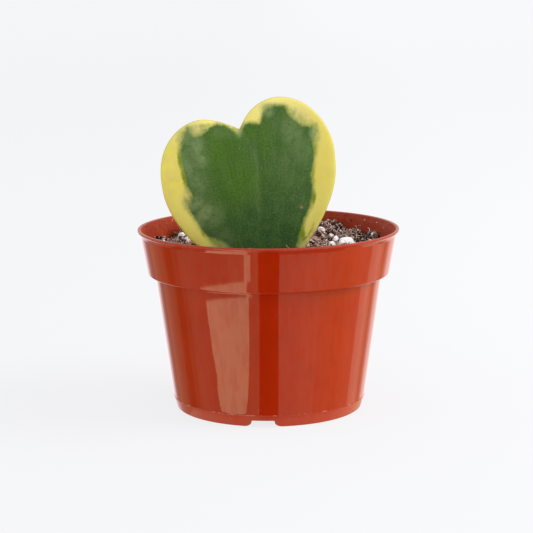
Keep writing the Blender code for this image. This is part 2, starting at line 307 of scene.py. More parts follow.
# %% Hang the bands of the room
ROOM_RADIUS = 1.5
BAND_BOTTOM = -1.4
BAND_TOP = -0.02
BAND_STEPS = 8
ROOM_BANDS = (
    # first, last, brightness, how much blue is left of the white
    (-110, -55, 0.79, 0.68), (-55, -36, 0.88, 0.64), (-36, -28, 0.78, 0.56), (-28, -18, 0.72, 0.48),
    (-18, -9, 0.67, 0.48), (-9, -4, 0.62, 0.46), (-4, 10, 0.68, 0.50), (10, 19, 0.62, 0.54),
    (19, 35, 1.12, 0.70), (35, 40, 0.82, 0.62), (40, 47, 0.50, 0.58), (47, 50, 0.70, 0.68),
    (50, 53, 0.88, 0.74), (53, 90, 1.25, 0.96), (90, 114, 1.25, 1.04), (114, 119, 1.12, 1.0),
    (119, 122, 0.80, 0.94), (122, 125, 0.48, 0.84), (125, 128, 0.48, 0.86), (128, 133, 0.36, 0.76),
    (133, 140, 0.50, 0.68), (140, 146, 0.46, 0.62), (146, 154, 0.41, 0.56), (154, 157.5, 0.37, 0.52),
    (157.5, 160, 0.27, 0.48), (160, 170, 0.19, 0.40), (170, 175, 0.35, 0.50), (175, 178, 0.38, 0.52),
    (178, 183, 0.54, 0.60), (183, 192, 0.60, 0.63), (192, 198, 0.58, 0.63), (198, 232, 0.55, 0.60),
    (232, 250, 0.74, 0.60),
)


def only_reflected(piece):
    piece.visible_camera = False
    piece.visible_diffuse = False
    piece.visible_transmission = False
    piece.visible_volume_scatter = False
    piece.visible_shadow = False


def warm_white(blue):
    return (1.08, 1.0, blue, 1.0)


def spot(radius, azimuth):
    """The place on the table at this distance and azimuth from the pot's axis."""
    turn = math.radians(azimuth)
    return radius * math.cos(turn), radius * math.sin(turn)


def arc(radius, first, last, steps=16):
    """Places along an arc round the pot, from one azimuth to another."""
    return [spot(radius, first + (last - first) * k / steps) for k in range(steps + 1)]


def hang_band(number, first, last, strength, blue):
    along = arc(ROOM_RADIUS, first, last, BAND_STEPS)
    points = [(x, y, z) for z in (BAND_BOTTOM, BAND_TOP) for x, y in along]
    above = len(along)
    faces = [(k, k + 1, above + k + 1, above + k) for k in range(BAND_STEPS)]
    mesh = bpy.data.meshes.new(f"room_band_{number + 1:02d}")
    mesh.from_pydata(points, [], faces)
    only_reflected(stage_piece(mesh.name, mesh, glow(mesh.name, warm_white(blue), strength)))


for number, band in enumerate(ROOM_BANDS):
    hang_band(number, *band)
print("bands round the room:", len(ROOM_BANDS))

# %% [markdown]
# The cards lie just under the floor, nearer than the bands, and so hide parts of them: a window's
# light with its frame, the dark stripe with its pale border, and white for the foot to mirror.
# The stripe starts narrow at the pot and widens with distance, as its picture in the wall stays
# even in width only then.

# %% Lay the cards on the table
# Places are in millimetres. The dark stripe's corners are each a distance and an azimuth, and the
# window's inner edge, the one nearest the pot, is given across and back.
DARK_STRIPE = ((41, -96.5), (41, -85), (55, -83), (100, -81.6), (700, -81.4), (700, -98.6), (100, -98.6),
               (55, -97.7))
WINDOW_INNER_EDGE = [(-14, -46), (-28, -39), (-45, -46), (-57, -53)]


def lay_card(name, corners, height, strength, blue):
    """A glowing card on the table, with its corners and its height in millimetres."""
    mesh = flat_mesh(name, [(x * MM, y * MM) for x, y in corners], height * MM)
    only_reflected(stage_piece(name, mesh, glow(name, warm_white(blue), strength)))


lay_card("beside_stripe", arc(41, -107.5, -98.3) + arc(700, -98.3, -107.5), -0.5, 0.62, 0.62)
lay_card("dark_stripe", [spot(*corner) for corner in DARK_STRIPE], -0.5, 0.004, 1.0)
lay_card("window_light", arc(151, -149.3, -107.5) + WINDOW_INNER_EDGE, -0.4, 2.65, 0.60)
lay_card("window_frame", arc(151, -109.6, -104.6) + arc(178, -104.6, -109.6), -0.45, 2.5, 0.60)
lay_card("white_under_foot", arc(0.5, -150, 0, 72) + arc(41.5, 0, -150, 72), -0.3, 0.90, 0.68)

# %% [markdown]
# A large glowing sphere closes the room all round. It fills every reflection that no band or card
# fills, such as those in the rim, in the leaf and inside the pot. Far below the table it is a warm
# red, and it turns pale upwards.

# %% Close the room with a dome
DOME_COLOUR = (1.06, 0.97, 0.86, 1.0)
LOW_DOME_COLOUR = (0.9, 0.36, 0.22, 1.0)


def as_mesh(name, shape):
    """The finished bmesh as mesh data."""
    data = bpy.data.meshes.new(name)
    shape.to_mesh(data)
    shape.free()
    return data


dome = bmesh.new()
bmesh.ops.create_uvsphere(dome, u_segments=48, v_segments=24, radius=DOME_RADIUS)
dome_glow = glow("dome", DOME_COLOUR, 0.74)
recipe = Recipe(dome_glow.node_tree)
rise = recipe.ramp(recipe.split(recipe.on_object())[2], -1.9, -1.2)
shining = next(node for node in dome_glow.node_tree.nodes if node.type == "EMISSION")
recipe.feed(shining.inputs["Color"], recipe.blend(rise, LOW_DOME_COLOUR, DOME_COLOUR))
only_reflected(stage_piece("dome", as_mesh("dome", dome), dome_glow))
print("dome radius:", DOME_RADIUS)

# %% [markdown]
# ## Running a Geometry Nodes tree
# A tree is run here like a tool. It is put on a holder object as a modifier, its inputs are set by
# name, and the mesh that comes out is kept as a plain mesh while the holder is removed. The other
# helpers end a tree in the same way each time, give a mesh its material and enter a piece in the
# frame: what it moves with, and which part of the model it stands for, which is then hidden.

# %% Helpers that run a node tree
def new_tree(name, inputs):
    """A Geometry Nodes tree with named inputs, each (name, socket type, default)."""
    tree = bpy.data.node_groups.new(name, "GeometryNodeTree")
    tree.interface.new_socket("Geometry", in_out="INPUT", socket_type="NodeSocketGeometry")
    for label, kind, default in inputs:
        socket = tree.interface.new_socket(label, in_out="INPUT", socket_type=kind)
        if default is not None:
            socket.default_value = default
    tree.interface.new_socket("Geometry", in_out="OUTPUT", socket_type="NodeSocketGeometry")
    return tree


def run_tree(tree, name, source, values):
    """Runs the tree on a mesh or curve with these inputs and returns a plain mesh object."""
    holder = add_object(name, source)
    modifier = holder.modifiers.new(tree.name, "NODES")
    modifier.node_group = tree
    for item in tree.interface.items_tree:
        if item.item_type == "SOCKET" and item.in_out == "INPUT" and item.name in values:
            modifier[item.identifier] = values[item.name]
    graph = bpy.context.evaluated_depsgraph_get()
    mesh = bpy.data.meshes.new_from_object(holder.evaluated_get(graph))
    bpy.data.objects.remove(holder)
    mesh.name = name
    return add_object(name, mesh)


def end_tree(recipe, geometry, finish):
    """Ends a tree with real geometry in this finish, because the export drops instances."""
    real = recipe.add("GeometryNodeRealizeInstances", {0: geometry})
    coated = recipe.add("GeometryNodeSetMaterial", {"Geometry": real.outputs[0], "Material": finish})
    recipe.add("NodeGroupOutput", {"Geometry": coated.outputs[0]})


def coat(mesh, finish):
    """Gives the mesh this one material."""
    mesh.materials.clear()
    mesh.materials.append(finish)


def finish_piece(piece, slot, *nodes):
    """Rides the piece on the root body and hides the model's parts it stands for; slot is not used."""
    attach(piece, "root")
    if nodes:
        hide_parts(*nodes)
    print(piece.name, "has", sum(len(face.vertices) - 2 for face in piece.data.polygons), "triangles")
    return piece


# %% [markdown]
# ## Geometry Nodes as a lathe
# The pot is moulded, and its shape is a profile turned about one axis. The Spin tool or a Screw
# modifier would turn it too. A node tree keeps the number of turn steps as a named input: it makes
# a grid with one column for each step of the turn and one row for each point of the profile, moves
# every grid point to its place, and welds the last column to the first.

# %% Build the lathe
def build_lathe():
    tree = new_tree("lathe", (
        ("Turn Steps", "NodeSocketInt", 288),
        ("Finish", "NodeSocketMaterial", None),
    ))
    recipe = Recipe(tree)
    start = recipe.add("NodeGroupInput").outputs
    points = recipe.add("GeometryNodeAttributeDomainSize", {0: start["Geometry"]}).outputs["Point Count"]
    rows = recipe.maths("ADD", points, 1.0)
    columns = recipe.maths("ADD", start["Turn Steps"], 1.0)
    sheet = recipe.add("GeometryNodeMeshGrid", {"Vertices X": columns, "Vertices Y": rows})
    index = recipe.add("GeometryNodeInputIndex").outputs[0]
    column = recipe.maths("FLOOR", recipe.maths("DIVIDE", recipe.maths("ADD", index, 0.5), rows))
    row = recipe.maths("SUBTRACT", index, recipe.times(column, rows))
    place = recipe.add("GeometryNodeInputPosition").outputs[0]
    profile = recipe.add("GeometryNodeSampleIndex", {0: start["Geometry"]}, data_type="FLOAT_VECTOR")
    recipe.feed(profile.inputs["Value"], place)
    recipe.feed(profile.inputs["Index"], recipe.maths("FLOORED_MODULO", row, points))
    corner = recipe.split(profile.outputs[0])
    turn = recipe.times(recipe.maths("DIVIDE", column, start["Turn Steps"]), math.tau)
    across = recipe.times(corner["X"], recipe.maths("COSINE", turn))
    back = recipe.times(corner["X"], recipe.maths("SINE", turn))
    turned = recipe.joined(across, back, corner["Z"])
    placed = recipe.add("GeometryNodeSetPosition", {"Geometry": sheet.outputs["Mesh"], "Position": turned})
    welded = recipe.add("GeometryNodeMergeByDistance", {"Geometry": placed.outputs[0], "Distance": 1e-6})
    end_tree(recipe, welded.outputs[0], start["Finish"])
    return tree


LATHE = build_lathe()
print("lathe nodes:", len(LATHE.nodes))

# %% [markdown]
# ## The pot
# The real pot is polypropylene, about 1 mm thick, drawn off a polished mould. It has a foot with
# a fine raised line where two halves of the mould meet, a tapered body, a wider collar that
# lets pots stack, and a rolled lip. All its corners are rounded, and those small roundings catch
# the light, so the profile below gives each corner a radius.

# %% Draw the pot's profile
pot_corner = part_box("pot")[1]
LIP_RADIUS = pot_corner.x
POT_HEIGHT = pot_corner.z
WALL = 1.0 * MM
COLLAR_TOP = (50.8 * MM, POT_HEIGHT - 2.5 * MM)
COLLAR_BOTTOM = (48.15 * MM, 54.3 * MM)
BODY_TOP = (45.1 * MM, 53.7 * MM)
BODY_BOTTOM = (38.4 * MM, 4.6 * MM)
FOOT_RADIUS = 37.0 * MM
FOOT_WALL = 1.4 * MM
FLOOR_UNDERSIDE = 3.1 * MM
DRAIN_RADIUS = 3.2 * MM
MOULD_LINE_PROUD = 0.14 * MM


def rounded(corners, steps=6):
    """A closed profile of (radius, height, rounding) corners as points, with support beside each arc."""
    points = []
    count = len(corners)
    for i, (radius, height, rounding) in enumerate(corners):
        here = Vector((radius, height))
        back = Vector(corners[i - 1][:2]) - here
        ahead = Vector(corners[(i + 1) % count][:2]) - here
        half_angle = back.angle(ahead) / 2
        room = min(back.length, ahead.length) / 2
        reach = min(rounding / math.tan(half_angle), 0.9 * room)
        support = min(0.25 * MM, 0.8 * (room - reach))
        back.normalize()
        ahead.normalize()
        centre = here + (back + ahead).normalized() * reach / math.cos(half_angle)
        first, last = here + back * reach - centre, here + ahead * reach - centre
        swing = first.angle_signed(last)
        points.append(centre + first + back * support)
        for k in range(steps + 1):
            points.append(centre + Matrix.Rotation(-swing * k / steps, 2) @ first)
        points.append(centre + last + ahead * support)
    return points


def filled_in(points, longest):
    """The closed loop again, with long straight stretches divided."""
    loop = []
    for here, after in zip(points, points[1:] + points[:1]):
        parts = max(1, math.ceil((after - here).length / longest))
        loop += [here.lerp(after, k / parts) for k in range(parts)]
    return loop


def inner_radius(height):
    """The inside of the collar at a height, for whatever lies against it."""
    share = (height - COLLAR_BOTTOM[1] - 1.4 * MM) / (COLLAR_TOP[1] - COLLAR_BOTTOM[1] - 1.4 * MM)
    return COLLAR_BOTTOM[0] - WALL + share * (COLLAR_TOP[0] - COLLAR_BOTTOM[0])


floor_top = FLOOR_UNDERSIDE + WALL
line = MOULD_LINE_PROUD
pot_corners = (
    (DRAIN_RADIUS, FLOOR_UNDERSIDE, 0.2 * MM),
    (FOOT_RADIUS - FOOT_WALL, FLOOR_UNDERSIDE, 0.5 * MM),
    (FOOT_RADIUS - FOOT_WALL, 0.0, 0.35 * MM),
    (FOOT_RADIUS, 0.0, 0.55 * MM),
    (BODY_BOTTOM[0] - 0.1 * MM, BODY_BOTTOM[1] - 0.25 * MM, 0.1 * MM),
    (BODY_BOTTOM[0] + line, BODY_BOTTOM[1] - 0.05 * MM, 0.07 * MM),
    (BODY_BOTTOM[0] + line, BODY_BOTTOM[1] + 0.1 * MM, 0.07 * MM),
    (BODY_BOTTOM[0] + 0.04 * MM, BODY_BOTTOM[1] + 0.3 * MM, 0.1 * MM),
    (*BODY_TOP, 0.45 * MM),
    (*COLLAR_BOTTOM, 0.8 * MM),
    (*COLLAR_TOP, 0.7 * MM),
    (COLLAR_TOP[0] + 0.5 * MM, POT_HEIGHT - 1.4 * MM, 0.6 * MM),
    (LIP_RADIUS - 0.2 * MM, POT_HEIGHT - 1.0 * MM, 0.25 * MM),
    (LIP_RADIUS, POT_HEIGHT - 0.7 * MM, 0.3 * MM),
    (LIP_RADIUS - 0.1 * MM, POT_HEIGHT, 0.4 * MM),
    (COLLAR_TOP[0] - 0.1 * MM, POT_HEIGHT - 0.1 * MM, 0.5 * MM),
    (COLLAR_TOP[0] - WALL, COLLAR_TOP[1], 1.2 * MM),
    (COLLAR_BOTTOM[0] - WALL, COLLAR_BOTTOM[1] + 1.4 * MM, 0.8 * MM),
    (BODY_TOP[0] - WALL, COLLAR_BOTTOM[1] + 0.6 * MM, 0.6 * MM),
    (BODY_BOTTOM[0] - WALL, floor_top, 1.6 * MM),
    (DRAIN_RADIUS, floor_top, 0.2 * MM),
)
profile = filled_in(rounded(pot_corners), 4.0 * MM)
profile_mesh = bpy.data.meshes.new("pot_profile")
profile_mesh.from_pydata([(point.x, 0, point.y) for point in profile], [], [])
pot = run_tree(LATHE, "terracotta_pot", profile_mesh, {"Turn Steps": 288})
print("profile points:", len(profile), "pot vertices:", len(pot.data.vertices))

# %% [markdown]
# The foot is open in four places, so that water can run out from under the pot, and the floor has
# a ring of drain holes. A Boolean with a solid cutter is the plain way to open a closed shell.
# The cutter's rounded lower corners leave the plastic's edges rounded, as the mould does.

# %% Cut the notches and the drain holes
NOTCHES = 4
NOTCH_TURN = math.radians(-3.8)
NOTCH_WIDTH = 9.0 * MM
NOTCH_HEIGHT = 2.6 * MM
NOTCH_ROUNDING = 1.95 * MM
NOTCH_FLARE = 1.8 * NOTCH_ROUNDING
NOTCH_TOP_ROUNDING = 0.5 * MM
DRAIN_HOLES = 8
DRAIN_RING = 26.0 * MM


def notch_outline(steps=6):
    """Half of the notch across its width, and its mirror image: wide at the ground, flat on top."""
    half = NOTCH_WIDTH / 2
    right = [Vector((half + NOTCH_FLARE, -1.0 * MM))]
    for k in range(steps + 1):
        a = math.radians(8 + 82 * k / steps)
        across = half + NOTCH_FLARE * (1 - math.sin(a))
        right.append(Vector((across, NOTCH_ROUNDING * (1 - math.cos(a)))))
    for k in range(steps + 1):
        a = math.radians(90 * k / steps)
        across = half - NOTCH_TOP_ROUNDING * (1 - math.cos(a))
        right.append(Vector((across, NOTCH_HEIGHT - NOTCH_TOP_ROUNDING * (1 - math.sin(a)))))
    return right + [Vector((-point.x, point.y)) for point in reversed(right)]


def prism(mesh, outline, placed, depths):
    """Adds a solid whose ends are the outline, placed at two depths."""
    ends = [[mesh.verts.new(placed(point, depth)) for point in outline] for depth in depths]
    count = len(outline)
    for i in range(count):
        j = (i + 1) % count
        mesh.faces.new((ends[0][i], ends[0][j], ends[1][j], ends[1][i]))
    for end in ends:
        mesh.faces.new(end)


def cut_with(piece, name, mesh):
    """Takes the closed bmesh out of the piece and keeps the result as the piece's mesh."""
    bmesh.ops.recalc_face_normals(mesh, faces=mesh.faces)
    cutter = add_object(name, as_mesh(name, mesh))
    boolean = piece.modifiers.new(name, "BOOLEAN")
    boolean.operation = "DIFFERENCE"
    boolean.object = cutter
    graph = bpy.context.evaluated_depsgraph_get()
    result = bpy.data.meshes.new_from_object(piece.evaluated_get(graph))
    piece.modifiers.remove(boolean)
    piece.data = result
    bpy.data.objects.remove(cutter)


def face_outwards(data, weld=False):
    """Turns every face outwards, after merging points that lie on each other if that is asked."""
    mesh = bmesh.new()
    mesh.from_mesh(data)
    if weld:
        bmesh.ops.remove_doubles(mesh, verts=mesh.verts, dist=1e-6)
    bmesh.ops.recalc_face_normals(mesh, faces=mesh.faces)
    mesh.to_mesh(data)
    mesh.free()


def add_notch(mesh, azimuth):
    outward = Vector((math.cos(azimuth), math.sin(azimuth), 0))
    across = Vector((-math.sin(azimuth), math.cos(azimuth), 0))
    prism(mesh, notch_outline(),
          lambda point, depth: outward * depth + across * point.x + Vector((0, 0, point.y)),
          (FOOT_RADIUS - 4 * MM, FOOT_RADIUS + 4 * MM))


def add_drain_hole(mesh, azimuth):
    centre = Vector((math.cos(azimuth), math.sin(azimuth), 0)) * DRAIN_RING
    turns = np.linspace(0, math.tau, 33)[:-1]
    prism(mesh, [Vector((math.cos(a), math.sin(a))) * DRAIN_RADIUS for a in turns],
          lambda point, depth: centre + Vector((point.x, point.y, depth)),
          (FLOOR_UNDERSIDE - MM, floor_top + MM))


face_outwards(pot.data)
openings = bmesh.new()
for k in range(NOTCHES):
    add_notch(openings, NOTCH_TURN + math.tau * k / NOTCHES)
for k in range(DRAIN_HOLES):
    add_drain_hole(openings, math.tau * (k + 0.5) / DRAIN_HOLES)
cut_with(pot, "pot_openings", openings)
face_outwards(pot.data)
pot.data.shade_smooth()
pot.data.set_sharp_from_angle(angle=math.radians(38))
finish_piece(pot, "pot_plastic", "pot")

# %% [markdown]
# ### The pot's plastic
# Moulded polypropylene is a smooth orange-red with a clear, mirror-like skin. What makes it look
# real is how little is perfect: the wall is very slightly wavy, so that mirrored edges wander;
# fine streaks run up the sides where the mould was drawn off; the mould line is rubbed pale
# in dashes; the foot and the lip are scuffed dull; and dust and splashed peat cling inside.

# %% Make the plastic
def near_walls(recipe, z):
    """A radius just inside the wall's outer face at each height, below and above the step."""
    lines = []
    for (low_radius, low), (high_radius, high) in ((BODY_BOTTOM, BODY_TOP), (COLLAR_BOTTOM, COLLAR_TOP)):
        taper = (high_radius - low_radius) / (high - low)
        lines.append(recipe.line(z, taper, low_radius - taper * low - 0.35 * MM))
    on_collar = recipe.ramp(z, BODY_TOP[1] + 0.1 * MM, BODY_TOP[1] + 1.6 * MM)
    return recipe.line(on_collar, recipe.maths("SUBTRACT", lines[1], lines[0]), lines[0])


def make_plastic():
    material, recipe, shader = new_material("terracotta_plastic", 0.06, 1.49)
    where = recipe.on_object()
    x, y, z = recipe.split(where)
    radius = recipe.maths("SQRT", recipe.maths("ADD", recipe.times(x, x), recipe.times(y, y)))
    streaks = recipe.grain(recipe.scaled(where, (1.0, 1.0, 0.03)), 1.1 * MM, 3.0, 0.6)
    clouds = recipe.grain(where, 16 * MM, 3.0)
    fine = recipe.grain(where, 0.5 * MM, 2.0)
    foot = recipe.ramp(z, BODY_BOTTOM[1] + 0.2 * MM, BODY_BOTTOM[1] - 0.2 * MM)
    lip = recipe.ramp(z, POT_HEIGHT - 1.6 * MM, POT_HEIGHT - 0.8 * MM)
    wall = near_walls(recipe, z)
    within = recipe.ramp(radius, wall, recipe.maths("SUBTRACT", wall, 0.4 * MM))
    inside = recipe.times(within, recipe.ramp(z, floor_top - 0.5 * MM, floor_top + 0.5 * MM))

    from_line = recipe.maths("ABSOLUTE", recipe.maths("SUBTRACT", z, BODY_BOTTOM[1] + 0.2 * MM))
    dashes = recipe.ramp(recipe.grain(recipe.scaled(where, (1, 1, 0)), 2.6 * MM, 2.0), 0.53, 0.63)
    dashes = recipe.times(recipe.ramp(from_line, 0.28 * MM, 0.1 * MM), dashes)
    rubbed = recipe.times(dashes, 0.34)
    scuffs = recipe.times(lip, recipe.ramp(recipe.grain(where, 1.4 * MM, 3.0), 0.40, 0.75, 0.25, 0.8))
    dust = recipe.specks(where, 2.4 * MM, 0.10 * MM, 0.25)
    dusty = recipe.ramp(recipe.grain(where, 5 * MM, 4.0, 0.6), 0.35, 0.65, 0.45, 0.8)
    splash = recipe.times(inside, recipe.ramp(recipe.grain(where, 1.5 * MM, 4.0, 0.65), 0.50, 0.66))
    red = recipe.layers(
        (0.370, 0.0160, 0.0008, 1),
        (recipe.ramp(clouds, 0.3, 0.7), (0.400, 0.0190, 0.0012, 1)),
        (recipe.ramp(streaks, 0.35, 0.75, 0.0, 0.14), (0.46, 0.034, 0.006, 1)),
        (rubbed, (0.78, 0.30, 0.20, 1)),
        (recipe.times(scuffs, 0.16), (0.66, 0.22, 0.16, 1)),
        (recipe.times(dust, 0.35), (0.62, 0.30, 0.22, 1)),
        (recipe.times(foot, 0.8), (0.45, 0.030, 0.004, 1)),
        (recipe.times(inside, dusty), (0.43, 0.064, 0.024, 1)),
        (recipe.times(splash, 0.42), (0.10, 0.030, 0.018, 1)),
    )
    recipe.feed(shader.inputs["Base Color"], red)

    film = recipe.ramp(recipe.grain(recipe.scaled(where, (1, 1, 0.22)), 2.4 * MM, 4.0, 0.65), 0.44, 0.64)
    sheen = recipe.line(film, -0.11, 0.545)
    sheen = recipe.line(recipe.specks(where, 1.6 * MM, 0.12 * MM, 0.3), -0.22, sheen)
    recipe.feed(shader.inputs["Specular IOR Level"], recipe.line(inside, -0.32, sheen))
    smudge = recipe.ramp(recipe.grain(recipe.scaled(where, (1, 1, 0.45)), 3.2 * MM, 3.0, 0.6), 0.60, 0.72)
    dull = recipe.line(clouds, 0.03, 0.035)
    for mark, added in ((smudge, 0.09), (foot, 0.20), (lip, 0.16), (inside, 0.50), (rubbed, 0.3)):
        dull = recipe.line(mark, added, dull)
    recipe.feed(shader.inputs["Roughness"], dull)
    wavy = recipe.grain(recipe.scaled(where, (1, 1, 0.55)), 9 * MM, 2.0)
    bumped(recipe, shader, ((wavy, 0.028 * MM), (streaks, 0.0012 * MM), (fine, 0.0012 * MM),
                            (recipe.times(lip, fine), 0.012 * MM)))
    return material


plastic = make_plastic()
coat(pot.data, plastic)
print("plastic nodes:", len(plastic.node_tree.nodes))

# %% [markdown]
# ## The leaf
# The blade is thick and fleshy, about 3 mm in the middle, with a blunt rounded rim. Its outline is
# two lobes that meet at the notch, drawn as smooth curves through points that a program measured
# round the real leaf and that were then partly moved. Rings of the same outline, drawn ever
# smaller round one centre, carry the swell of each face. That gives clean, even faces that follow
# the shape and meet at the rim.

# %% Draw the heart
LEAF_BASE = Vector((-2.2, 0.0, 50.0)) * MM
LEAF_LEAN = math.radians(4.0)
LEAF_TILT = math.radians(8.2)
LEAF_CENTRE = np.array((0.0, 38.0)) * MM
LEAF_THICKNESS = 2.8 * MM
LEAF_RIM = 0.7 * MM
LEAF_CUPPING = 1.4 * MM
CUPPING_REACH = 47.4 * MM
MIDRIB = ((0, 0), (15, 1.2), (30, 2.8), (40, 3.9), (48, 4.5), (53, 3.6), (57, 2.4), (61.6, -0.3))
LEAF_SPOKES = 480
LEAF_RINGS = 60

RIGHT_LOBE = ((2.3, 0), (9.5, 4.6), (18.4, 11.2), (25.6, 19.4), (31.2, 28.2), (34.4, 36.0), (35.7, 44.0),
              (35.7, 51.0), (34.1, 57.2), (31.2, 62.8), (26.9, 67.6), (21.5, 70.8), (15.8, 72.0),
              (10.6, 71.2), (6.2, 69.0), (2.9, 66.0), (-0.3, 61.6))
LEFT_LOBE = ((-2.3, 0), (-9.5, 6.4), (-17.6, 13.0), (-25.5, 19.9), (-31.0, 29.2), (-33.6, 37.0),
             (-34.2, 43.4), (-33.8, 49.5), (-32.3, 55.0), (-29.6, 59.8), (-25.9, 63.6), (-21.0, 66.4),
             (-15.3, 67.5), (-9.2, 66.2), (-4.0, 63.8), (-0.3, 61.6))


def smooth_through(points, steps):
    """A Catmull-Rom curve through the points, with this many steps between each two."""
    points = np.array(points, float)
    padded = np.vstack([2 * points[0] - points[1], points, 2 * points[-1] - points[-2]])
    t = (np.arange(steps) / steps)[:, None]
    pieces = [
        0.5 * (2 * b + (c - a) * t + (2 * a - 5 * b + 4 * c - d) * t**2 + (3 * b - a - 3 * c + d) * t**3)
        for a, b, c, d in zip(padded, padded[1:], padded[2:], padded[3:])
    ]
    return np.vstack([*pieces, points[-1:]])


def evenly(curve, count):
    """The curve again as this many points, equal lengths apart."""
    lengths = np.concatenate([[0], np.cumsum(np.linalg.norm(np.diff(curve, axis=0), axis=1))])
    wanted = np.linspace(0, lengths[-1], count)
    return np.column_stack([np.interp(wanted, lengths, curve[:, k]) for k in (0, 1)])


def grown(loop, margin):
    """The closed loop moved outwards along its own normals."""
    along = np.roll(loop, -1, axis=0) - np.roll(loop, 1, axis=0)
    along /= np.linalg.norm(along, axis=1)[:, None]
    return loop + np.column_stack([along[:, 1], -along[:, 0]]) * margin


lobe_steps = LEAF_SPOKES // 2
right_side = evenly(smooth_through(RIGHT_LOBE, 12), lobe_steps)
left_side = evenly(smooth_through(LEFT_LOBE, 12)[::-1], lobe_steps + 1)
outline = np.vstack([right_side[:-1], left_side]) * MM
print("leaf", np.ptp(outline[:, 0]) / MM, "mm wide,", np.ptp(outline[:, 1]) / MM, "mm long")

# %% [markdown]
# The blade's faces are nearly flat. Each swells towards the middle and falls to the rim like the
# edge of a cushion, the sides sweep back a little, and the midrib bows to the right as a faint
# groove in front and a soft keel behind. A little slow unevenness keeps the sheen alive.

# %% Build the blade
def midrib_across(along):
    curve = smooth_through(MIDRIB, 8) * MM
    return np.interp(along, curve[:, 0], curve[:, 1])


def blade_rings():
    """The rings of one face as (flat ring, half thickness), from the centre out, then round the rim."""
    rim_radius = LEAF_RIM / 2
    inner = grown(outline, -rim_radius)
    rings = []
    for k in range(1, LEAF_RINGS + 1):
        share = math.sin(math.pi / 2 * k / LEAF_RINGS)
        fullness = math.sqrt(max(0.0, 1 - share**4))
        swell = rim_radius + (LEAF_THICKNESS - LEAF_RIM) / 2 * fullness
        rings.append((LEAF_CENTRE + (inner - LEAF_CENTRE) * share, swell))
    for k in range(1, 5):
        a = math.pi / 2 * k / 4
        rings.append((inner + (outline - inner) * math.sin(a), rim_radius * math.cos(a)))
    return rings


def face_points(side, rings):
    """Points of one face in the leaf's own frame: across, back and along."""
    flat = np.vstack([LEAF_CENTRE[None], *[ring for ring, swell in rings]])
    swell = np.concatenate([[LEAF_THICKNESS / 2], *[[s] * len(ring) for ring, s in rings]])
    across, along = flat.T
    sweep = (across / CUPPING_REACH) ** 2 * LEAF_CUPPING
    rib = np.exp(-(((across - midrib_across(along)) / (1.5 * MM)) ** 2))
    rib *= np.clip(swell / LEAF_THICKNESS * 2 - 0.25, 0, 1) * (0.22 if side < 0 else 0.42) * MM
    slow = np.array([noise.noise(Vector((u, v, side * 9 * MM)) / (13 * MM)) for u, v in flat])
    slow *= 0.16 * MM * np.clip(swell / LEAF_THICKNESS * 2, 0, 1) * (swell > LEAF_RIM / 2 * 1.02)
    return np.column_stack([across, sweep + side * swell + rib + slow, along])


def blade_faces(ring_count):
    """Quads between the rings of the two faces, whose points follow each other."""
    n = LEAF_SPOKES
    per_face = 1 + n * ring_count
    faces = []
    spokes = np.arange(n)
    after = (spokes + 1) % n
    for base, order in ((0, 1), (per_face, -1)):
        faces += [(base, base + 1 + a, base + 1 + b)[::order] for a, b in zip(spokes, after)]
        for k in range(ring_count - 1):
            low, high = base + 1 + k * n, base + 1 + (k + 1) * n
            faces += [
                (low + a, high + a, high + b, low + b)[::order] for a, b in zip(spokes, after)
            ]
    return faces


def build_blade():
    rings = blade_rings()
    front, back = face_points(-1, rings), face_points(1, rings)
    mesh = bpy.data.meshes.new("heart_leaf_blade")
    points = np.vstack([front, back])
    mesh.from_pydata(points.tolist(), [], blade_faces(len(rings)))
    plan = np.column_stack([points[:, 0], points[:, 2], np.repeat([0.0, 0.2], len(front))])
    edge = np.concatenate([[1.0], *[[1 - k / LEAF_RINGS] * LEAF_SPOKES for k in range(1, len(rings) + 1)]])
    return mesh, plan, np.tile(edge, 2)


blade, plan, from_edge = build_blade()
print("blade points:", len(plan))

# %% [markdown]
# ### The leaf's markings
# The leaf is variegated: a green heart with ragged, stepped edges inside a cream-yellow margin,
# with soft grey-green patches. Such a pattern belongs to this leaf and no formula gives it, so its
# border is an outline of points: a program measured the first ones on the real leaf, and they were
# rounded, moved and added to. Every point of the mesh keeps its distance from that border, and
# noise in the material frays it.
# The patches are soft ellipses, kept as attributes too.

# %% Draw the markings
GREEN_BORDER = (
    (15, 9), (17, 13.5), (18.5, 18), (20.5, 22.5), (23.5, 27), (25, 31), (25.5, 35.5), (25.5, 39),
    (27, 43), (28, 47), (28.8, 51), (29.8, 55), (30, 59), (27.5, 59.4), (25.2, 59.6), (23.8, 61.8),
    (21.8, 63.4), (20.6, 65.4), (20, 67.4), (18.8, 68.6), (14.5, 69.2), (11, 69.2), (10, 68.4),
    (9.2, 65.5), (7.8, 62.8), (4, 63.8), (2, 63.6), (0.5, 62.2), (-0.8, 61), (-3, 62.5), (-6.5, 64.6),
    (-8, 65.2), (-10, 65), (-12, 64.4), (-13.8, 63.8), (-15.2, 63), (-16.6, 62.2), (-17.8, 62.2),
    (-18.9, 63.2), (-19.2, 64.8), (-20, 65.5), (-21.2, 65.2), (-23, 63.8), (-24.3, 61), (-24.8, 58),
    (-25.4, 54), (-25.2, 50), (-24.8, 45.5), (-24.6, 42), (-23.6, 38.5), (-25.8, 36.8), (-25.8, 33.5),
    (-24.5, 31), (-22.6, 27), (-21.2, 23.5), (-18.8, 20.2), (-16, 17.7), (-10.6, 12.4), (0, 4),
)


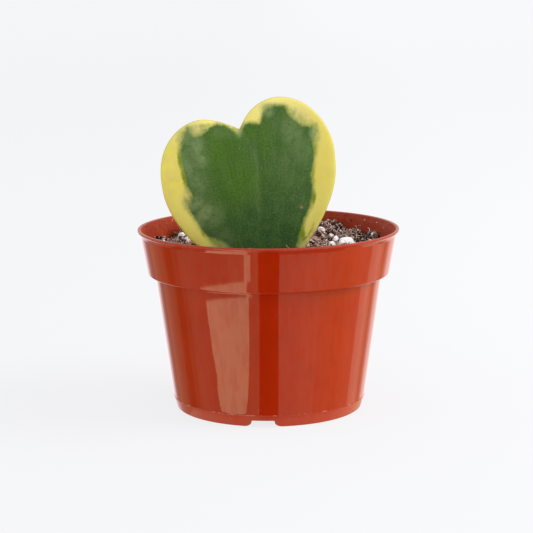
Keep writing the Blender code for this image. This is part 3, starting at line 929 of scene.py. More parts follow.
def distance_inside(points, border):
    """How far each point lies inside the closed border, less than nothing where it is outside."""
    starts = np.array(border, float) * MM
    ends = np.roll(starts, -1, axis=0)
    nearest = np.full(len(points), 1e9)
    inside = np.zeros(len(points), bool)
    for a, b in zip(starts, ends):
        along = np.clip(((points - a) @ (b - a)) / ((b - a) @ (b - a)), 0, 1)
        nearest = np.minimum(nearest, np.linalg.norm(points - a - along[:, None] * (b - a), axis=1))
        crosses = (a[1] > points[:, 1]) != (b[1] > points[:, 1])
        level = a[0] + (points[:, 1] - a[1]) / (b[1] - a[1] + 1e-12) * (b[0] - a[0])
        inside ^= crosses & (points[:, 0] < level)
    return np.where(inside, nearest, -nearest)


def patches(points, ellipses):
    """The strongest of several soft ellipses: centre, half width, half length, turn in degrees, strength."""
    strongest = np.zeros(len(points))
    for across, along, wide, long, turn, strength in ellipses:
        a = math.radians(turn)
        shifted = (points - np.array((across, along)) * MM) / MM
        u = (shifted[:, 0] * math.cos(a) + shifted[:, 1] * math.sin(a)) / wide
        v = (shifted[:, 1] * math.cos(a) - shifted[:, 0] * math.sin(a)) / long
        strongest = np.maximum(strongest, strength * np.exp(-(u * u + v * v) ** 1.5))
    return strongest


# Soft ellipses: across, along, half width and half length in millimetres, turn, strength.
GREY_PATCHES = (
    (-21.3, 61.2, 3.4, 4.4, 10, 1.05), (-18.8, 57, 3.6, 5.0, -18, 1.0), (-18.3, 52, 3.8, 4.2, -10, 0.9),
    (-16.4, 52.4, 0.5, 1.8, 25, 1.5), (-22.5, 51, 3.2, 7.0, 0, 0.85), (-20, 44, 4.0, 7.0, 10, 0.6),
    (-22, 35, 3.6, 3.0, 20, 1.1), (-19.3, 29.9, 3.0, 5.4, -40, 1.1), (-16, 28.6, 4.5, 5.0, -20, 0.5),
    (20, 58, 5.0, 6.0, 20, 0.5), (22.5, 50, 4.4, 7.0, 0, 0.5), (28.3, 55.5, 1.5, 4.0, 0, 1.0),
    (12.2, 67.2, 2.2, 2.6, 0, 1.0), (17, 43, 5.0, 9.0, 10, 0.2), (-0.8, 60.5, 1.8, 2.2, 0, 1.2),
    (-13.5, 16.4, 3.8, 1.8, -38, 1.0), (4.6, 50, 0.9, 9.0, -2, 0.35), (20, 28, 4.5, 9.0, 0, 0.10),
    (-13, 20, 5.0, 4.0, 0, 0.3), (-6.5, 61, 5.0, 2.4, -8, 0.35),
)
FRESH_PATCHES = (
    (-8, 54, 8.0, 11.0, -20, 1.0), (-4.0, 42, 10, 10.0, 0, 1.0), (4.0, 60.0, 3.4, 4.6, 0, 0.9),
    (-10, 34, 7.0, 7.0, 0, 0.6), (9.0, 56, 4.0, 8.0, 0, 0.6),
)
LIME_STREAKS = (
    (-25.6, 52.5, 1.2, 4.0, 0, 1.0), (-25.0, 46.0, 1.3, 3.6, 6, 1.0), (25.2, 29.6, 1.8, 4.0, 12, 1.0),
    (18.4, 16.6, 1.8, 3.4, 14, 1.0), (-20.2, 23.0, 1.4, 6.0, -30, 0.5), (-14.4, 65.5, 2.6, 1.1, 0, 0.5),
    (26.2, 39.5, 1.2, 3.6, 0, 0.6), (28.0, 49.5, 1.2, 2.6, 0, 0.6), (-16, 18, 3.4, 1.2, -40, 0.5),
)
SOFT_EDGES = (
    (-17, 63.6, 3.8, 2.8, 0, 1.0), (-24, 62, 2.6, 4.0, 0, 0.5), (24.2, 63.6, 5.2, 3.2, -38, 1.0),
    (11, 69, 3.0, 2.0, 0, 0.4), (29.5, 54.5, 2.4, 5.0, 0, 0.6), (-1, 61, 2.4, 2.4, 0, 0.4),
    (-14, 16.5, 5.0, 3.0, -35, 1.0), (-25, 37, 2.6, 4.0, 0, 0.7), (18, 12.5, 3.0, 4.0, 0, 0.7),
)
SCARS = (
    (21.7, 14.6, 0.9, 0.8, 0, 1.0), (19.6, 27.3, 0.42, 0.6, 20, 0.9), (22.6, 16.2, 0.45, 2.2, -28, 0.6),
)
SMUDGES = (
    (19.6, 15.0, 0.35, 2.2, -62, 1.0), (21.6, 17.0, 0.5, 2.4, -40, 0.9), (23.0, 19.4, 0.5, 1.6, -30, 0.5),
)

flat_plan = plan[:, :2]
markings = {
    "green": distance_inside(flat_plan, GREEN_BORDER) / MM,
    "grey": patches(flat_plan, GREY_PATCHES),
    "fresh": patches(flat_plan, FRESH_PATCHES),
    "lime": patches(flat_plan, LIME_STREAKS),
    "soft": patches(flat_plan, SOFT_EDGES),
    "scar": patches(flat_plan, SCARS),
    "smudge": patches(flat_plan, SMUDGES),
    "from_edge": from_edge,
    "midrib": np.exp(-(((flat_plan[:, 0] - midrib_across(flat_plan[:, 1])) / (0.8 * MM)) ** 2)),
}
for name, values in markings.items():
    blade.attributes.new(name, "FLOAT", "POINT").data.foreach_set("value", values.astype(np.float32))
kept_plan = blade.attributes.new("plan", "FLOAT_VECTOR", "POINT")
kept_plan.data.foreach_set("vector", plan.astype(np.float32).ravel())
print("markings:", sorted(markings))

# %% [markdown]
# The blade was drawn flat and upright. Now it leans back and tilts to its place in the mix. The
# attributes go with it, so that the markings stay where they are on the leaf.

# %% Stand the leaf in its place
leaf = add_object("heart_leaf_blade", blade)
stance = Matrix.Rotation(-LEAF_LEAN, 4, "X") @ Matrix.Rotation(-LEAF_TILT, 4, "Y")
blade.transform(Matrix.Translation(LEAF_BASE) @ stance)
face_outwards(blade, weld=True)
blade.shade_smooth()
finish_piece(leaf, "variegated_leaf", "heart_leaf")

# %% [markdown]
# ### The leaf's skin
# Waxy leaf skin has a broad soft sheen, and light enters the flesh and comes out nearby, which
# subsurface scattering gives. Colour is worked out in layers, as the leaf itself is made: yellow
# flesh, then green tissue where the border allows it, lime where only a thin layer is green, grey
# patches, a pale midrib, then specks and scars on top. The yellow is also made paler on the lower
# part of the blade, which is painted light that lifts the shade there.

# %% Make the leaf's skin
def make_leaf_skin():
    material, recipe, shader = new_material("variegated_leaf", 0.42, 1.45)
    where = recipe.attribute("plan", "Vector")
    across, height, side = recipe.split(where)
    fan = recipe.maths("ARCTAN2", across, recipe.maths("ADD", height, 25 * MM))
    fanned = recipe.joined(recipe.times(fan, 70 * MM), recipe.times(height, 0.12), side)
    fibres = recipe.grain(fanned, 0.8 * MM, 3.0, 0.6)
    ribs = recipe.grain(fanned, 4.5 * MM, 2.0)
    ragged = recipe.maths("SUBTRACT", recipe.grain(where, 2.2 * MM, 3.0, 0.6), 0.5)
    mottle = recipe.grain(where, 0.8 * MM, 3.0, 0.7)
    blotch = recipe.grain(where, 5.0 * MM, 3.0, 0.55)
    soft = recipe.attribute("soft")
    depth = recipe.maths("DIVIDE", recipe.attribute("green"), recipe.line(soft, 2.4, 1.0))
    depth = recipe.line(recipe.maths("SUBTRACT", fibres, 0.5), 1.2, depth)
    depth = recipe.line(recipe.maths("SUBTRACT", mottle, 0.5), 1.2, depth)
    depth = recipe.line(ragged, 1.3, depth)

    yellow = recipe.layers(
        srgb(246, 230, 98),
        (recipe.ramp(blotch, 0.35, 0.65), srgb(240, 221, 106)),
        # Paler below 44 mm of the blade: painted light that lifts the shade on its lower part.
        (recipe.ramp(height, 44 * MM, 27 * MM, 0.0, 0.8), srgb(252, 246, 124)),
        (recipe.ramp(height, 27 * MM, 12 * MM, 0.0, 0.75), srgb(212, 216, 110)),
        (recipe.ramp(mottle, 0.44, 0.66, 0.0, 0.30), srgb(244, 234, 150)),
        (recipe.ramp(recipe.grain(where, 7 * MM, 3.0), 0.50, 0.66, 0.0, 0.2), srgb(216, 212, 96)),
        (recipe.ramp(height, 56 * MM, 70 * MM, 0.0, 0.6), srgb(253, 243, 156)),
        (recipe.ramp(across, 10 * MM, 34 * MM, 0.0, 0.6), srgb(218, 202, 98)),
        (recipe.times(soft, 0.55), srgb(214, 200, 140)),
    )
    grey = recipe.times(recipe.attribute("grey"), recipe.ramp(ragged, -0.20, 0.06, 0.45, 1.0))
    rib = recipe.times(recipe.attribute("midrib"), recipe.ramp(height, 14 * MM, 40 * MM, 0.05, 0.20))
    green = recipe.layers(
        srgb(70, 104, 42),
        (recipe.ramp(height, 50 * MM, 12 * MM), srgb(43, 85, 38)),
        (recipe.attribute("fresh"), srgb(72, 114, 12)),
        (recipe.ramp(blotch, 0.42, 0.60, 0.0, 0.30), srgb(84, 118, 54)),
        (grey, srgb(127, 149, 95)),
        (recipe.ramp(mottle, 0.47, 0.66, 0.0, 0.34), srgb(112, 142, 78)),
        (recipe.ramp(mottle, 0.50, 0.34, 0.0, 0.28), srgb(36, 76, 18)),
        (recipe.ramp(fibres, 0.50, 0.66, 0.0, 0.22), srgb(104, 136, 70)),
        (recipe.ramp(ribs, 0.52, 0.40, 0.0, 0.22), srgb(44, 88, 20)),
        (recipe.times(rib, recipe.ramp(blotch, 0.35, 0.6, 0.5, 1.0)), srgb(122, 150, 86)),
    )

    band = recipe.times(recipe.ramp(depth, -1.5, -0.5), recipe.ramp(depth, 1.2, 0.2))
    lime = recipe.times(band, recipe.attribute("lime"))
    on_green = recipe.ramp(depth, 0.0, 1.0)
    off_green = recipe.maths("SUBTRACT", 1.0, on_green)
    pale = recipe.times(recipe.specks(where, 1.9 * MM, 0.20 * MM, 0.35), on_green)
    dark = recipe.times(recipe.specks(where, 4.2 * MM, 0.24 * MM, 0.30), off_green)
    colour = recipe.layers(
        yellow,
        (recipe.ramp(depth, -1.3, 0.2), recipe.blend(0.5, yellow, srgb(124, 150, 74))),
        (recipe.ramp(depth, -0.3, 1.1), green),
        (recipe.times(lime, 0.95), srgb(122, 146, 8)),
        (recipe.times(pale, 0.45), srgb(176, 200, 142)),
        (recipe.times(dark, 0.5), srgb(130, 116, 34)),
        (recipe.times(recipe.attribute("smudge"), 0.55), srgb(84, 78, 34)),
        (recipe.attribute("scar"), srgb(196, 156, 108)),
        (recipe.ramp(recipe.attribute("from_edge"), 0.012, -0.03, 0.0, 0.45), srgb(176, 160, 84)),
    )
    recipe.feed(shader.inputs["Base Color"], colour)
    recipe.feed(shader.inputs["Roughness"], recipe.line(mottle, 0.16, 0.36))
    shader.inputs["Specular IOR Level"].default_value = 0.26
    shader.inputs["Subsurface Weight"].default_value = 0.12
    shader.inputs["Subsurface Radius"].default_value = (1.0, 0.9, 0.35)
    shader.inputs["Subsurface Scale"].default_value = 0.6 * MM
    bumped(recipe, shader, ((blotch, 0.10 * MM), (fibres, 0.02 * MM), (mottle, 0.03 * MM),
                            (recipe.attribute("scar"), 0.05 * MM)))
    return material


leaf_skin = make_leaf_skin()
blade.materials.append(leaf_skin)
print("leaf skin nodes:", len(leaf_skin.node_tree.nodes))

# %% [markdown]
# ## The potting mix
# Peat mix is lumps of every size, from clods to dust, tangled with fibres. The big forms are one
# closed plug that follows the pot's inside and whose top is a relief: slow lumps, a few heaps
# against the wall and a dip, as pouring and pressing leave it. The loose crumbs and fibres are
# scattered over that relief by Geometry Nodes, and each gets its own size, turn and tone.

# %% Shape the plug of mix
MIX_LEVEL = 63.0 * MM
MIX_GAP = 0.12 * MM
NEAR_WALL = 48 * MM
PLUG_RINGS = 100
PLUG_SPOKES = 288
# Heaps and hollows: across, back, rise and spread in millimetres.
HEAPS = (
    (25, 38, 3.8, 6.6), (23.5, 29, 1.8, 4.5), (36.5, 30, 1.6, 3.8), (44, 21, 3.0, 3.6), (41, 30, -2.0, 2.8),
    (33, 16, -2.9, 6.5), (22, 14, -0.6, 5), (-44.5, 19, 1.8, 2.6), (-41, 25, -0.8, 3),
    (-33.5, 28, 4.2, 3.4), (-30, 38, 3.0, 6), (0, 40, 2.6, 9), (0, -12, -1.6, 15), (-22, -25, -1.0, 8),
    (32, -24, 0.8, 7), (-40, -8, 1.0, 6),
)


def mix_height(x, y):
    """The relief of the mix at a place, in metres."""
    lumps = 0.9 * noise.noise(Vector((x, y, 0.0)) / (9 * MM) + Vector((0, 0, 3.3)))
    clods = 1.1 * noise.noise(Vector((x, y, 0.0)) / (4.2 * MM) + Vector((7, 0, 0)))
    crumbs = 0.7 * noise.fractal(Vector((x, y, 0.0)) / (1.7 * MM), 0.9, 2.0, 3)
    bank = 1.6 * max(0.0, y) / LIP_RADIUS
    heaps = sum(
        rise * math.exp(-(math.hypot(x / MM - u, y / MM - v) / spread) ** 4) for u, v, rise, spread in HEAPS
    )
    return MIX_LEVEL + (lumps + clods + crumbs + bank + heaps) * MM


def wall_point(turn, radius, height):
    return radius * math.cos(turn), radius * math.sin(turn), height


def relief_point(turn, share):
    """A point of the relief, at this share of the way out to the wall."""
    edge = inner_radius(mix_height(NEAR_WALL * math.cos(turn), NEAR_WALL * math.sin(turn))) - MIX_GAP
    x, y = edge * share * math.cos(turn), edge * share * math.sin(turn)
    return x, y, mix_height(x, y)


def build_plug():
    mesh = bmesh.new()
    turns = [math.tau * k / PLUG_SPOKES for k in range(PLUG_SPOKES)]
    bottom = floor_top + 0.3 * MM
    wall = (
        (20 * MM, bottom),
        (36.6 * MM, bottom),
        (BODY_BOTTOM[0] - WALL + 0.1 * MM, floor_top + 2.0 * MM),
        (BODY_TOP[0] - WALL - 0.1 * MM, BODY_TOP[1] + 0.6 * MM),
        (COLLAR_BOTTOM[0] - WALL - 0.2 * MM, COLLAR_BOTTOM[1] + 2.0 * MM),
    )
    rings = [[mesh.verts.new((0, 0, bottom))]]
    for radius, height in wall:
        rings.append([mesh.verts.new(wall_point(turn, radius, height)) for turn in turns])
    for k in range(PLUG_RINGS):
        share = 1 - k / PLUG_RINGS
        rings.append([mesh.verts.new(relief_point(turn, share)) for turn in turns])
    rings.append([mesh.verts.new((0, 0, mix_height(0, 0)))])
    for lower, upper in zip(rings, rings[1:]):
        for i in range(max(len(lower), len(upper))):
            j = (i + 1) % PLUG_SPOKES
            corners = [ring[n % len(ring)] for ring, n in ((lower, i), (lower, j), (upper, j), (upper, i))]
            mesh.faces.new(list(dict.fromkeys(corners)))
    bmesh.ops.recalc_face_normals(mesh, faces=mesh.faces)
    data = as_mesh("peat_plug", mesh)
    data.shade_smooth()
    return add_object("peat_plug", data)


plug = build_plug()

# %% [markdown]
# ### The peat's colour
# Peat is dark brown, and its dry fibres are almost cream. One material serves all of it. Noise
# darkens it in spots to nearly black, which is partly the dark of wet peat and partly painted shade
# standing in for the hollows between crumbs, and lightens it in others to a pale dusty brown, partly
# painted highlight. Each crumb or fibre adds its own tone, which the scattering below stores on it.

# %% Make the peat
def make_peat():
    material, recipe, shader = new_material("peat", 0.9, 1.45)
    where = recipe.on_object()
    fine = recipe.grain(where, 0.45 * MM, 4.0, 0.7)
    broad = recipe.grain(where, 3.0 * MM, 3.0)
    mixed = recipe.line(recipe.maths("SUBTRACT", fine, 0.5), 1.2, 0.02)
    mixed = recipe.line(recipe.maths("SUBTRACT", broad, 0.5), 0.7, mixed)
    mixed = recipe.line(recipe.attribute("tone"), 0.90, mixed)
    # Nearly black is partly painted shade for the hollows; the palest is partly painted highlight.
    recipe.feed(shader.inputs["Base Color"], recipe.layers(
        srgb(48, 25, 20),
        (recipe.ramp(mixed, 0.05, 0.48), srgb(168, 128, 116)),
        (recipe.ramp(mixed, 0.46, 0.86), srgb(246, 222, 212)),
    ))
    shader.inputs["Specular IOR Level"].default_value = 0.3
    bumped(recipe, shader, ((fine, 0.25 * MM), (broad, 0.4 * MM)))
    return material


peat = make_peat()
plug.data.materials.append(peat)
finish_piece(plug, "peat_mix", "potting_mix")

# %% [markdown]
# One scattering tree serves crumbs, fibres and perlite dust. Its inputs say how many to scatter,
# how large they are and how much each is bent out of shape. It keeps off the strip where the leaf
# stands. The shape that it scatters is chosen by a switch: a low-polygon ball, or a bent strand.

# %% Build the scattering tree
LEAF_MIDDLE = 1.2 * MM
LOWEST_CRUMB = 58 * MM


def bend(recipe, geometry, start):
    """Pushes every point of the copies about, so that no two keep the same shape."""
    frequency = recipe.maths("DIVIDE", 1.0, start["Noise Size"])
    uneven = recipe.add("ShaderNodeTexNoise", {"Scale": frequency, "Detail": 1.0})
    offset = recipe.vectors("ADD", uneven.outputs["Color"], (-0.5, -0.5, -0.5)).outputs[0]
    offset = recipe.stretched(offset, recipe.times(start["Unevenness"], 2.0))
    return recipe.add("GeometryNodeSetPosition", {"Geometry": geometry, "Offset": offset}).outputs[0]


def hold_inside(recipe, geometry, radius):
    """Pulls whatever sticks out past this radius back to it."""
    place = recipe.add("GeometryNodeInputPosition").outputs[0]
    reach = recipe.length(recipe.scaled(place, (1.0, 1.0, 0.0)))
    pulled = recipe.maths("MINIMUM", 1.0, recipe.maths("DIVIDE", radius, reach))
    kept = recipe.scaled(place, recipe.joined(pulled, pulled, 1.0))
    return recipe.add("GeometryNodeSetPosition", {"Geometry": geometry, "Position": kept}).outputs[0]


def build_scatter():
    tree = new_tree("scatter", (
        ("Per Square Metre", "NodeSocketFloat", 5e5),
        ("Smallest", "NodeSocketFloat", 0.0004),
        ("Largest", "NodeSocketFloat", 0.0012),
        ("Flatness", "NodeSocketFloat", 0.7),
        ("Lift", "NodeSocketFloat", 0.0),
        ("Unevenness", "NodeSocketFloat", 0.0003),
        ("Noise Size", "NodeSocketFloat", 0.001),
        ("Strands", "NodeSocketBool", False),
        ("Strand Thickness", "NodeSocketFloat", 0.00012),
        ("Leaf Half Width", "NodeSocketFloat", 0.021),
        ("Leaf Half Thickness", "NodeSocketFloat", 0.0026),
        ("Least Upward", "NodeSocketFloat", 0.2),
        ("Roundness", "NodeSocketInt", 1),
        ("Palest", "NodeSocketFloat", 1.0),
        ("Darkest", "NodeSocketFloat", 0.0),
        ("Wall Radius", "NodeSocketFloat", 1.0),
        ("Seed", "NodeSocketInt", 1),
        ("Finish", "NodeSocketMaterial", None),
    ))
    recipe = Recipe(tree)
    start = recipe.add("NodeGroupInput").outputs
    place = recipe.add("GeometryNodeInputPosition").outputs[0]
    x, y, z = recipe.split(place)
    beside = recipe.maths("GREATER_THAN", recipe.maths("ABSOLUTE", x), start["Leaf Half Width"])
    from_leaf = recipe.maths("ABSOLUTE", recipe.maths("SUBTRACT", y, LEAF_MIDDLE))
    before = recipe.maths("GREATER_THAN", from_leaf, start["Leaf Half Thickness"])
    upward = recipe.split(recipe.add("GeometryNodeInputNormal").outputs[0])[2]
    facing = recipe.maths("GREATER_THAN", upward, start["Least Upward"])
    free = recipe.times(recipe.maths("MAXIMUM", beside, before), facing)
    free = recipe.times(free, recipe.maths("GREATER_THAN", z, LOWEST_CRUMB))
    spots = recipe.add("GeometryNodeDistributePointsOnFaces", {
        "Mesh": start["Geometry"], "Selection": free, "Density": start["Per Square Metre"],
        "Seed": start["Seed"],
    })

    ball = recipe.add("GeometryNodeMeshIcoSphere", {"Radius": 0.5, "Subdivisions": start["Roundness"]})
    ends = {"Start": (-0.5, 0.0, 0.0), "End": (0.5, 0.0, 0.0)}
    strand = recipe.add("GeometryNodeCurvePrimitiveLine", ends)
    fine_strand = recipe.add("GeometryNodeResampleCurve", {"Curve": strand.outputs[0], "Count": 5})
    shape = recipe.add("GeometryNodeSwitch", {"Switch": start["Strands"]}, input_type="GEOMETRY")
    recipe.feed(shape.inputs["False"], ball.outputs[0])
    recipe.feed(shape.inputs["True"], fine_strand.outputs[0])

    def chance(low, high, step):
        """A random number for each point, with a seed of its own."""
        node = recipe.add("FunctionNodeRandomValue", data_type="FLOAT")
        inputs = [socket for socket in node.inputs if socket.enabled]
        for socket, value in zip(inputs, (low, high)):
            recipe.feed(socket, value)
        recipe.feed(node.inputs["Seed"], recipe.maths("ADD", start["Seed"], float(step)))
        return [socket for socket in node.outputs if socket.enabled][0]

    mostly_small = recipe.maths("POWER", chance(0.0, 1.0, 1), 2.0)
    width = recipe.add("ShaderNodeMix", {0: mostly_small, 2: start["Smallest"], 3: start["Largest"]},
                       data_type="FLOAT").outputs[0]
    depth = recipe.times(width, chance(0.6, 1.0, 2))
    sizes = recipe.joined(width, depth, recipe.times(width, start["Flatness"]))
    tilt = recipe.times(0.7, chance(-1.0, 1.0, 3))
    roll = recipe.times(0.9, chance(-1.0, 1.0, 4))
    turn = recipe.joined(roll, tilt, chance(0.0, math.tau, 5))
    copies = recipe.add("GeometryNodeInstanceOnPoints", {
        "Points": spots.outputs["Points"], "Instance": shape.outputs[0], "Rotation": turn, "Scale": sizes,
    })
    toned = recipe.add("GeometryNodeStoreNamedAttribute", {"Geometry": copies.outputs[0], "Name": "tone"},
                       data_type="FLOAT", domain="INSTANCE")
    recipe.feed(toned.inputs["Value"], chance(start["Darkest"], start["Palest"], 6))
    raised = recipe.add("GeometryNodeTranslateInstances", {
        "Instances": toned.outputs[0], "Local Space": False,
        "Translation": recipe.joined(z=recipe.times(width, start["Lift"])),
    })
    real = recipe.add("GeometryNodeRealizeInstances", {0: raised.outputs[0]})
    held = hold_inside(recipe, bend(recipe, real.outputs[0], start), start["Wall Radius"])
    section = recipe.add("GeometryNodeCurvePrimitiveCircle", {"Resolution": 3})
    recipe.feed(section.inputs["Radius"], start["Strand Thickness"])
    tubes = recipe.add("GeometryNodeCurveToMesh", {
        "Curve": held, "Profile Curve": section.outputs[0], "Fill Caps": True,
    })
    chosen = recipe.add("GeometryNodeSwitch", {"Switch": start["Strands"]}, input_type="GEOMETRY")
    recipe.feed(chosen.inputs["False"], held)
    recipe.feed(chosen.inputs["True"], tubes.outputs[0])
    end_tree(recipe, chosen.outputs[0], start["Finish"])
    return tree


SCATTER = build_scatter()
print("scattering nodes:", len(SCATTER.nodes))

# %% [markdown]
# Now the tree is run three times on the plug, each time with its own seed: for the clods, then the
# crumbs that fill between them, then the fibres that tangle the surface. Each is one piece.

# %% Scatter clods, crumbs and fibres
WALL_REACH = inner_radius(60 * MM) - 0.35 * MM


def scatter(name, source, finish, slot, **sizes):
    """Scatters one piece over the source, with the tree's inputs given by name."""
    values = {label.replace("_", " "): value for label, value in sizes.items()}
    made = run_tree(SCATTER, name, source, {**values, "Finish": finish})
    face_outwards(made.data)
    coat(made.data, finish)
    return finish_piece(made, slot)


scatter("peat_clods", plug.data, peat, "peat_mix", Per_Square_Metre=4e4, Smallest=1.8 * MM, Largest=4.0 * MM,
        Flatness=0.6, Lift=0.05, Unevenness=1.0 * MM, Noise_Size=1.5 * MM, Roundness=3, Palest=0.7,
        Wall_Radius=WALL_REACH, Seed=11)
scatter("peat_crumbs", plug.data, peat, "peat_mix", Per_Square_Metre=7.5e5, Smallest=0.5 * MM,
        Largest=2.0 * MM, Flatness=0.5, Lift=0.25, Unevenness=0.55 * MM, Noise_Size=0.7 * MM, Palest=0.85,
        Wall_Radius=WALL_REACH, Seed=23)
scatter("peat_fibres", plug.data, peat, "peat_mix", Per_Square_Metre=5.5e5, Smallest=0.8 * MM,
        Largest=5.5 * MM, Lift=0.12, Unevenness=1.0 * MM, Noise_Size=1.8 * MM, Strands=True,
        Strand_Thickness=0.15 * MM, Darkest=0.2, Palest=1.1, Wall_Radius=WALL_REACH, Seed=37)

# %% [markdown]
# A little mix always sticks to the wall above the fill and on the rim. The same tree scatters it
# on a thin band that copies the wall, so that only the crumbs are kept.

# %% Sprinkle crumbs on the wall
WALL_STEPS = 96


def wall_band():
    """The back of the pot's inner wall and its rim, as a thin sheet."""
    turns = [math.radians(10 + 160 * k / WALL_STEPS) for k in range(WALL_STEPS + 1)]
    levels = [(inner_radius(z * MM) - 0.05 * MM, z * MM) for z in (62.5, 65, 68, 70.5)]
    levels.append((LIP_RADIUS - 1.6 * MM, POT_HEIGHT + 0.02 * MM))
    points = [wall_point(turn, radius, height) for radius, height in levels for turn in turns]
    across = len(turns)
    firsts = [row * across + k for row in range(len(levels) - 1) for k in range(WALL_STEPS)]
    faces = [(k, k + 1, across + k + 1, across + k) for k in firsts]
    band = bpy.data.meshes.new("wall_band")
    band.from_pydata(points, [], faces)
    return band


scatter("wall_crumbs", wall_band(), peat, "peat_mix", Per_Square_Metre=4.5e4, Smallest=0.2 * MM,
        Largest=1.0 * MM, Flatness=0.6, Unevenness=0.3 * MM, Noise_Size=0.6 * MM, Least_Upward=-2.0,
        Palest=1.3, Seed=41)
scatter("wall_fibres", wall_band(), peat, "peat_mix", Per_Square_Metre=1e4, Smallest=0.8 * MM,
        Largest=3.0 * MM, Unevenness=0.5 * MM, Noise_Size=1.2 * MM, Least_Upward=-2.0, Strands=True,
        Strand_Thickness=0.09 * MM, Darkest=0.3, Palest=1.1, Wall_Radius=inner_radius(66 * MM) - 0.2 * MM,
        Seed=43)

# %% [markdown]
# ## The perlite
# Perlite is volcanic glass popped like corn: white, knobbly, full of burst bubbles. One small
# tree turns a round ball into such a grain. Noise swells it unevenly and the cells of a Voronoi
# texture press in the pores. Each grain of the model becomes one, resting where the mix is now.

# %% Build the grain tree
def build_grain():
    tree = new_tree("perlite_grain", (
        ("Centre", "NodeSocketVector", (0.0, 0.0, 0.0)),
        ("Size", "NodeSocketVector", (0.003, 0.003, 0.0025)),
        ("Swell", "NodeSocketFloat", 0.5),
        ("Pore Size", "NodeSocketFloat", 0.0007),
        ("Pore Depth", "NodeSocketFloat", 0.00025),
        ("Seed", "NodeSocketFloat", 0.0),
        ("Finish", "NodeSocketMaterial", None),
    ))
    recipe = Recipe(tree)
    start = recipe.add("NodeGroupInput").outputs
    place = recipe.add("GeometryNodeInputPosition").outputs[0]
    seeded = recipe.vectors("ADD", place, recipe.joined(start["Seed"])).outputs[0]
    lumps = recipe.add("ShaderNodeTexNoise", {"Vector": seeded, "Scale": 1.5, "Detail": 2.0}).outputs[0]
    swell = recipe.line(recipe.maths("SUBTRACT", lumps, 0.5), recipe.times(start["Swell"], 2.0), 0.9)
    sized = recipe.scaled(recipe.stretched(place, swell), start["Size"])
    put = recipe.vectors("ADD", sized, start["Centre"]).outputs[0]
    swollen = recipe.add("GeometryNodeSetPosition", {"Geometry": start["Geometry"], "Position": put})
    cells = recipe.add("ShaderNodeTexVoronoi", {"Scale": recipe.maths("DIVIDE", 1.0, start["Pore Size"])})
    pressed = recipe.times(recipe.ramp(cells.outputs["Distance"], 0.5, 0.15), start["Pore Depth"])
    normal = recipe.add("GeometryNodeInputNormal").outputs[0]
    inward = recipe.stretched(normal, recipe.times(pressed, -1.0))
    pored = recipe.add("GeometryNodeSetPosition", {"Geometry": swollen.outputs[0], "Offset": inward})
    end_tree(recipe, pored.outputs[0], start["Finish"])
    return tree


def ball(name, subdivisions):
    mesh = bmesh.new()
    bmesh.ops.create_icosphere(mesh, subdivisions=subdivisions, radius=0.5)
    return as_mesh(name, mesh)


GRAIN = build_grain()
fine_ball, small_ball = ball("fine_ball", 5), ball("small_ball", 4)
print("grain nodes:", len(GRAIN.nodes))

# %% [markdown]
# ### The perlite's white
# A foam of glass is whiter than paint, since light wanders about in its bubbles before it comes
# out. Subsurface scattering stands for that, and a very faint glow, which is painted light, makes the
# grains brighter still. Broad noise varies the white, fine noise greys it in small spots as painted
# shade for the pores, and a few specks of peat cling to each grain.

# %% Make the perlite
def make_perlite():
    material, recipe, shader = new_material("perlite", 0.85, 1.5)
    where = recipe.on_object()
    broad = recipe.grain(where, 1.1 * MM, 3.0)
    fine = recipe.grain(where, 0.3 * MM, 3.0, 0.7)
    dirt = recipe.times(recipe.specks(where, 0.8 * MM, 0.2 * MM, 0.20), 0.6)
    recipe.feed(shader.inputs["Base Color"], recipe.layers(
        srgb(255, 252, 254),
        (recipe.ramp(broad, 0.40, 0.62), srgb(247, 241, 246)),
        # Grey in small spots: painted shade for the pores.
        (recipe.ramp(fine, 0.56, 0.72, 0.0, 0.3), srgb(208, 196, 200)),
        (dirt, srgb(92, 66, 58)),
    ))
    # A faint glow, which is painted light: it makes the grains brighter than the lamps alone would.
    shader.inputs["Emission Color"].default_value = (1.0, 0.98, 1.0, 1.0)
    shader.inputs["Emission Strength"].default_value = 0.14
    shader.inputs["Subsurface Weight"].default_value = 0.4
    shader.inputs["Subsurface Radius"].default_value = (1.0, 1.0, 1.0)
    shader.inputs["Subsurface Scale"].default_value = 1.2 * MM
    bumped(recipe, shader, ((broad, 0.10 * MM), (fine, 0.08 * MM)))
    return material


perlite = make_perlite()
print("perlite nodes:", len(perlite.node_tree.nodes))

# %% [markdown]
# Every grain of the model keeps its place and its size, and only its height is taken anew from the
# relief, so that it lies in the mix. The first one is the big grain at the back, and it is sunk a
# little deeper. A few loose chips and a scatter of dust complete the mix.

# %% Place the grains, the chips and the dust
BIG_GRAIN_SHIFT = Vector((0.9, 2.0, 0.0)) * MM
BIG_GRAIN_GROWTH = (1.36, 1.3, 1.15)
# Loose chips: across, back and width in millimetres.
CHIPS = ((21.8, 27.0, 3.0), (26.0, 23.0, 2.3), (30.5, 12, 1.6), (27.5, 6, 1.8),
         (-35.6, 23.0, 2.9), (-32.4, 12, 2.2), (-38.5, 20, 1.4), (12, -24, 1.8), (-14, -30, 1.6))


def place_grain(name, centre, size, seed, *nodes):
    """A grain of perlite; the large ones get more faces."""
    source = fine_ball if max(size) > 4 * MM else small_ball
    made = run_tree(GRAIN, name, source, {
        "Centre": centre, "Size": size, "Seed": float(seed), "Pore Size": max(size) / 5,
        "Pore Depth": max(size) / 16, "Swell": 0.5 if source == fine_ball else 0.8, "Finish": perlite,
    })
    coat(made.data, perlite)
    made.data.shade_smooth()
    return finish_piece(made, "perlite", *nodes)


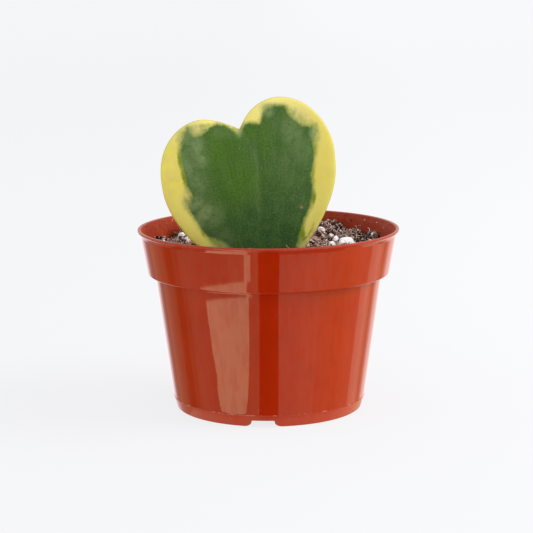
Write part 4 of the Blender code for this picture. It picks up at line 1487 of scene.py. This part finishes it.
grain_names = sorted(name for name in frame["nodes"] if name.startswith("perlite_"))
for number, name in enumerate(grain_names):
    low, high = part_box(name)
    centre, size = (low + high) / 2, (high - low) * 1.05
    standing = 0.20
    if number == 0:
        centre -= BIG_GRAIN_SHIFT
        size = Vector([side * growth for side, growth in zip(size, BIG_GRAIN_GROWTH)])
        standing = 0.08
    centre.z = mix_height(centre.x, centre.y) + standing * size.z
    place_grain(name.replace("perlite", "grain"), centre, size, 3.7 * number, name)
for number, (x, y, width) in enumerate(CHIPS):
    height = mix_height(x * MM, y * MM) + 0.55 * width * MM
    size = Vector((width, width * 0.8, width * 0.75)) * MM
    place_grain(f"chip_{number + 1:02d}", Vector((x * MM, y * MM, height)), size, 50 + 2.3 * number)
scatter("perlite_dust", plug.data, perlite, "perlite", Per_Square_Metre=4e4, Smallest=0.35 * MM,
        Largest=1.4 * MM, Flatness=0.8, Lift=0.5, Unevenness=0.3 * MM, Noise_Size=0.6 * MM, Roundness=2,
        Wall_Radius=WALL_REACH, Seed=61)
print("grains:", len(grain_names), "chips:", len(CHIPS))

# %% [markdown]
# ## The parts below the surface
# The stalk and roots are hidden by the mix, and the model's own solids are kept for them. They
# still get real materials, since an exploded or cut view shows them: a green stalk that turns
# woody, and cream roots with dirt in the hollows.

# %% Colour the stalk and the roots
def make_living(name, base, other, speck):
    material, recipe, shader = new_material(name, 0.6, 1.45)
    where = recipe.on_object()
    broad = recipe.grain(where, 4 * MM, 3.0)
    fine = recipe.grain(recipe.scaled(where, (1, 1, 0.3)), 0.5 * MM, 3.0, 0.6)
    patched = (recipe.ramp(broad, 0.38, 0.62), other)
    specked = (recipe.ramp(fine, 0.50, 0.70, 0.0, 0.6), speck)
    recipe.feed(shader.inputs["Base Color"], recipe.layers(base, patched, specked))
    recipe.feed(shader.inputs["Roughness"], recipe.line(fine, 0.3, 0.45))
    bumped(recipe, shader, ((fine, 0.06 * MM), (broad, 0.1 * MM)))
    return material


green_stalk = make_living("green_stalk", srgb(118, 140, 70), srgb(140, 132, 84), srgb(104, 88, 60))
cream_root = make_living("cream_root", srgb(214, 198, 160), srgb(190, 166, 120), srgb(110, 82, 60))
for name, finish in (("leaf_stalk", green_stalk), ("roots", cream_root)):
    for slot in bpy.data.objects[name].material_slots:
        slot.material = finish
print("coloured:", green_stalk.name, cream_root.name)
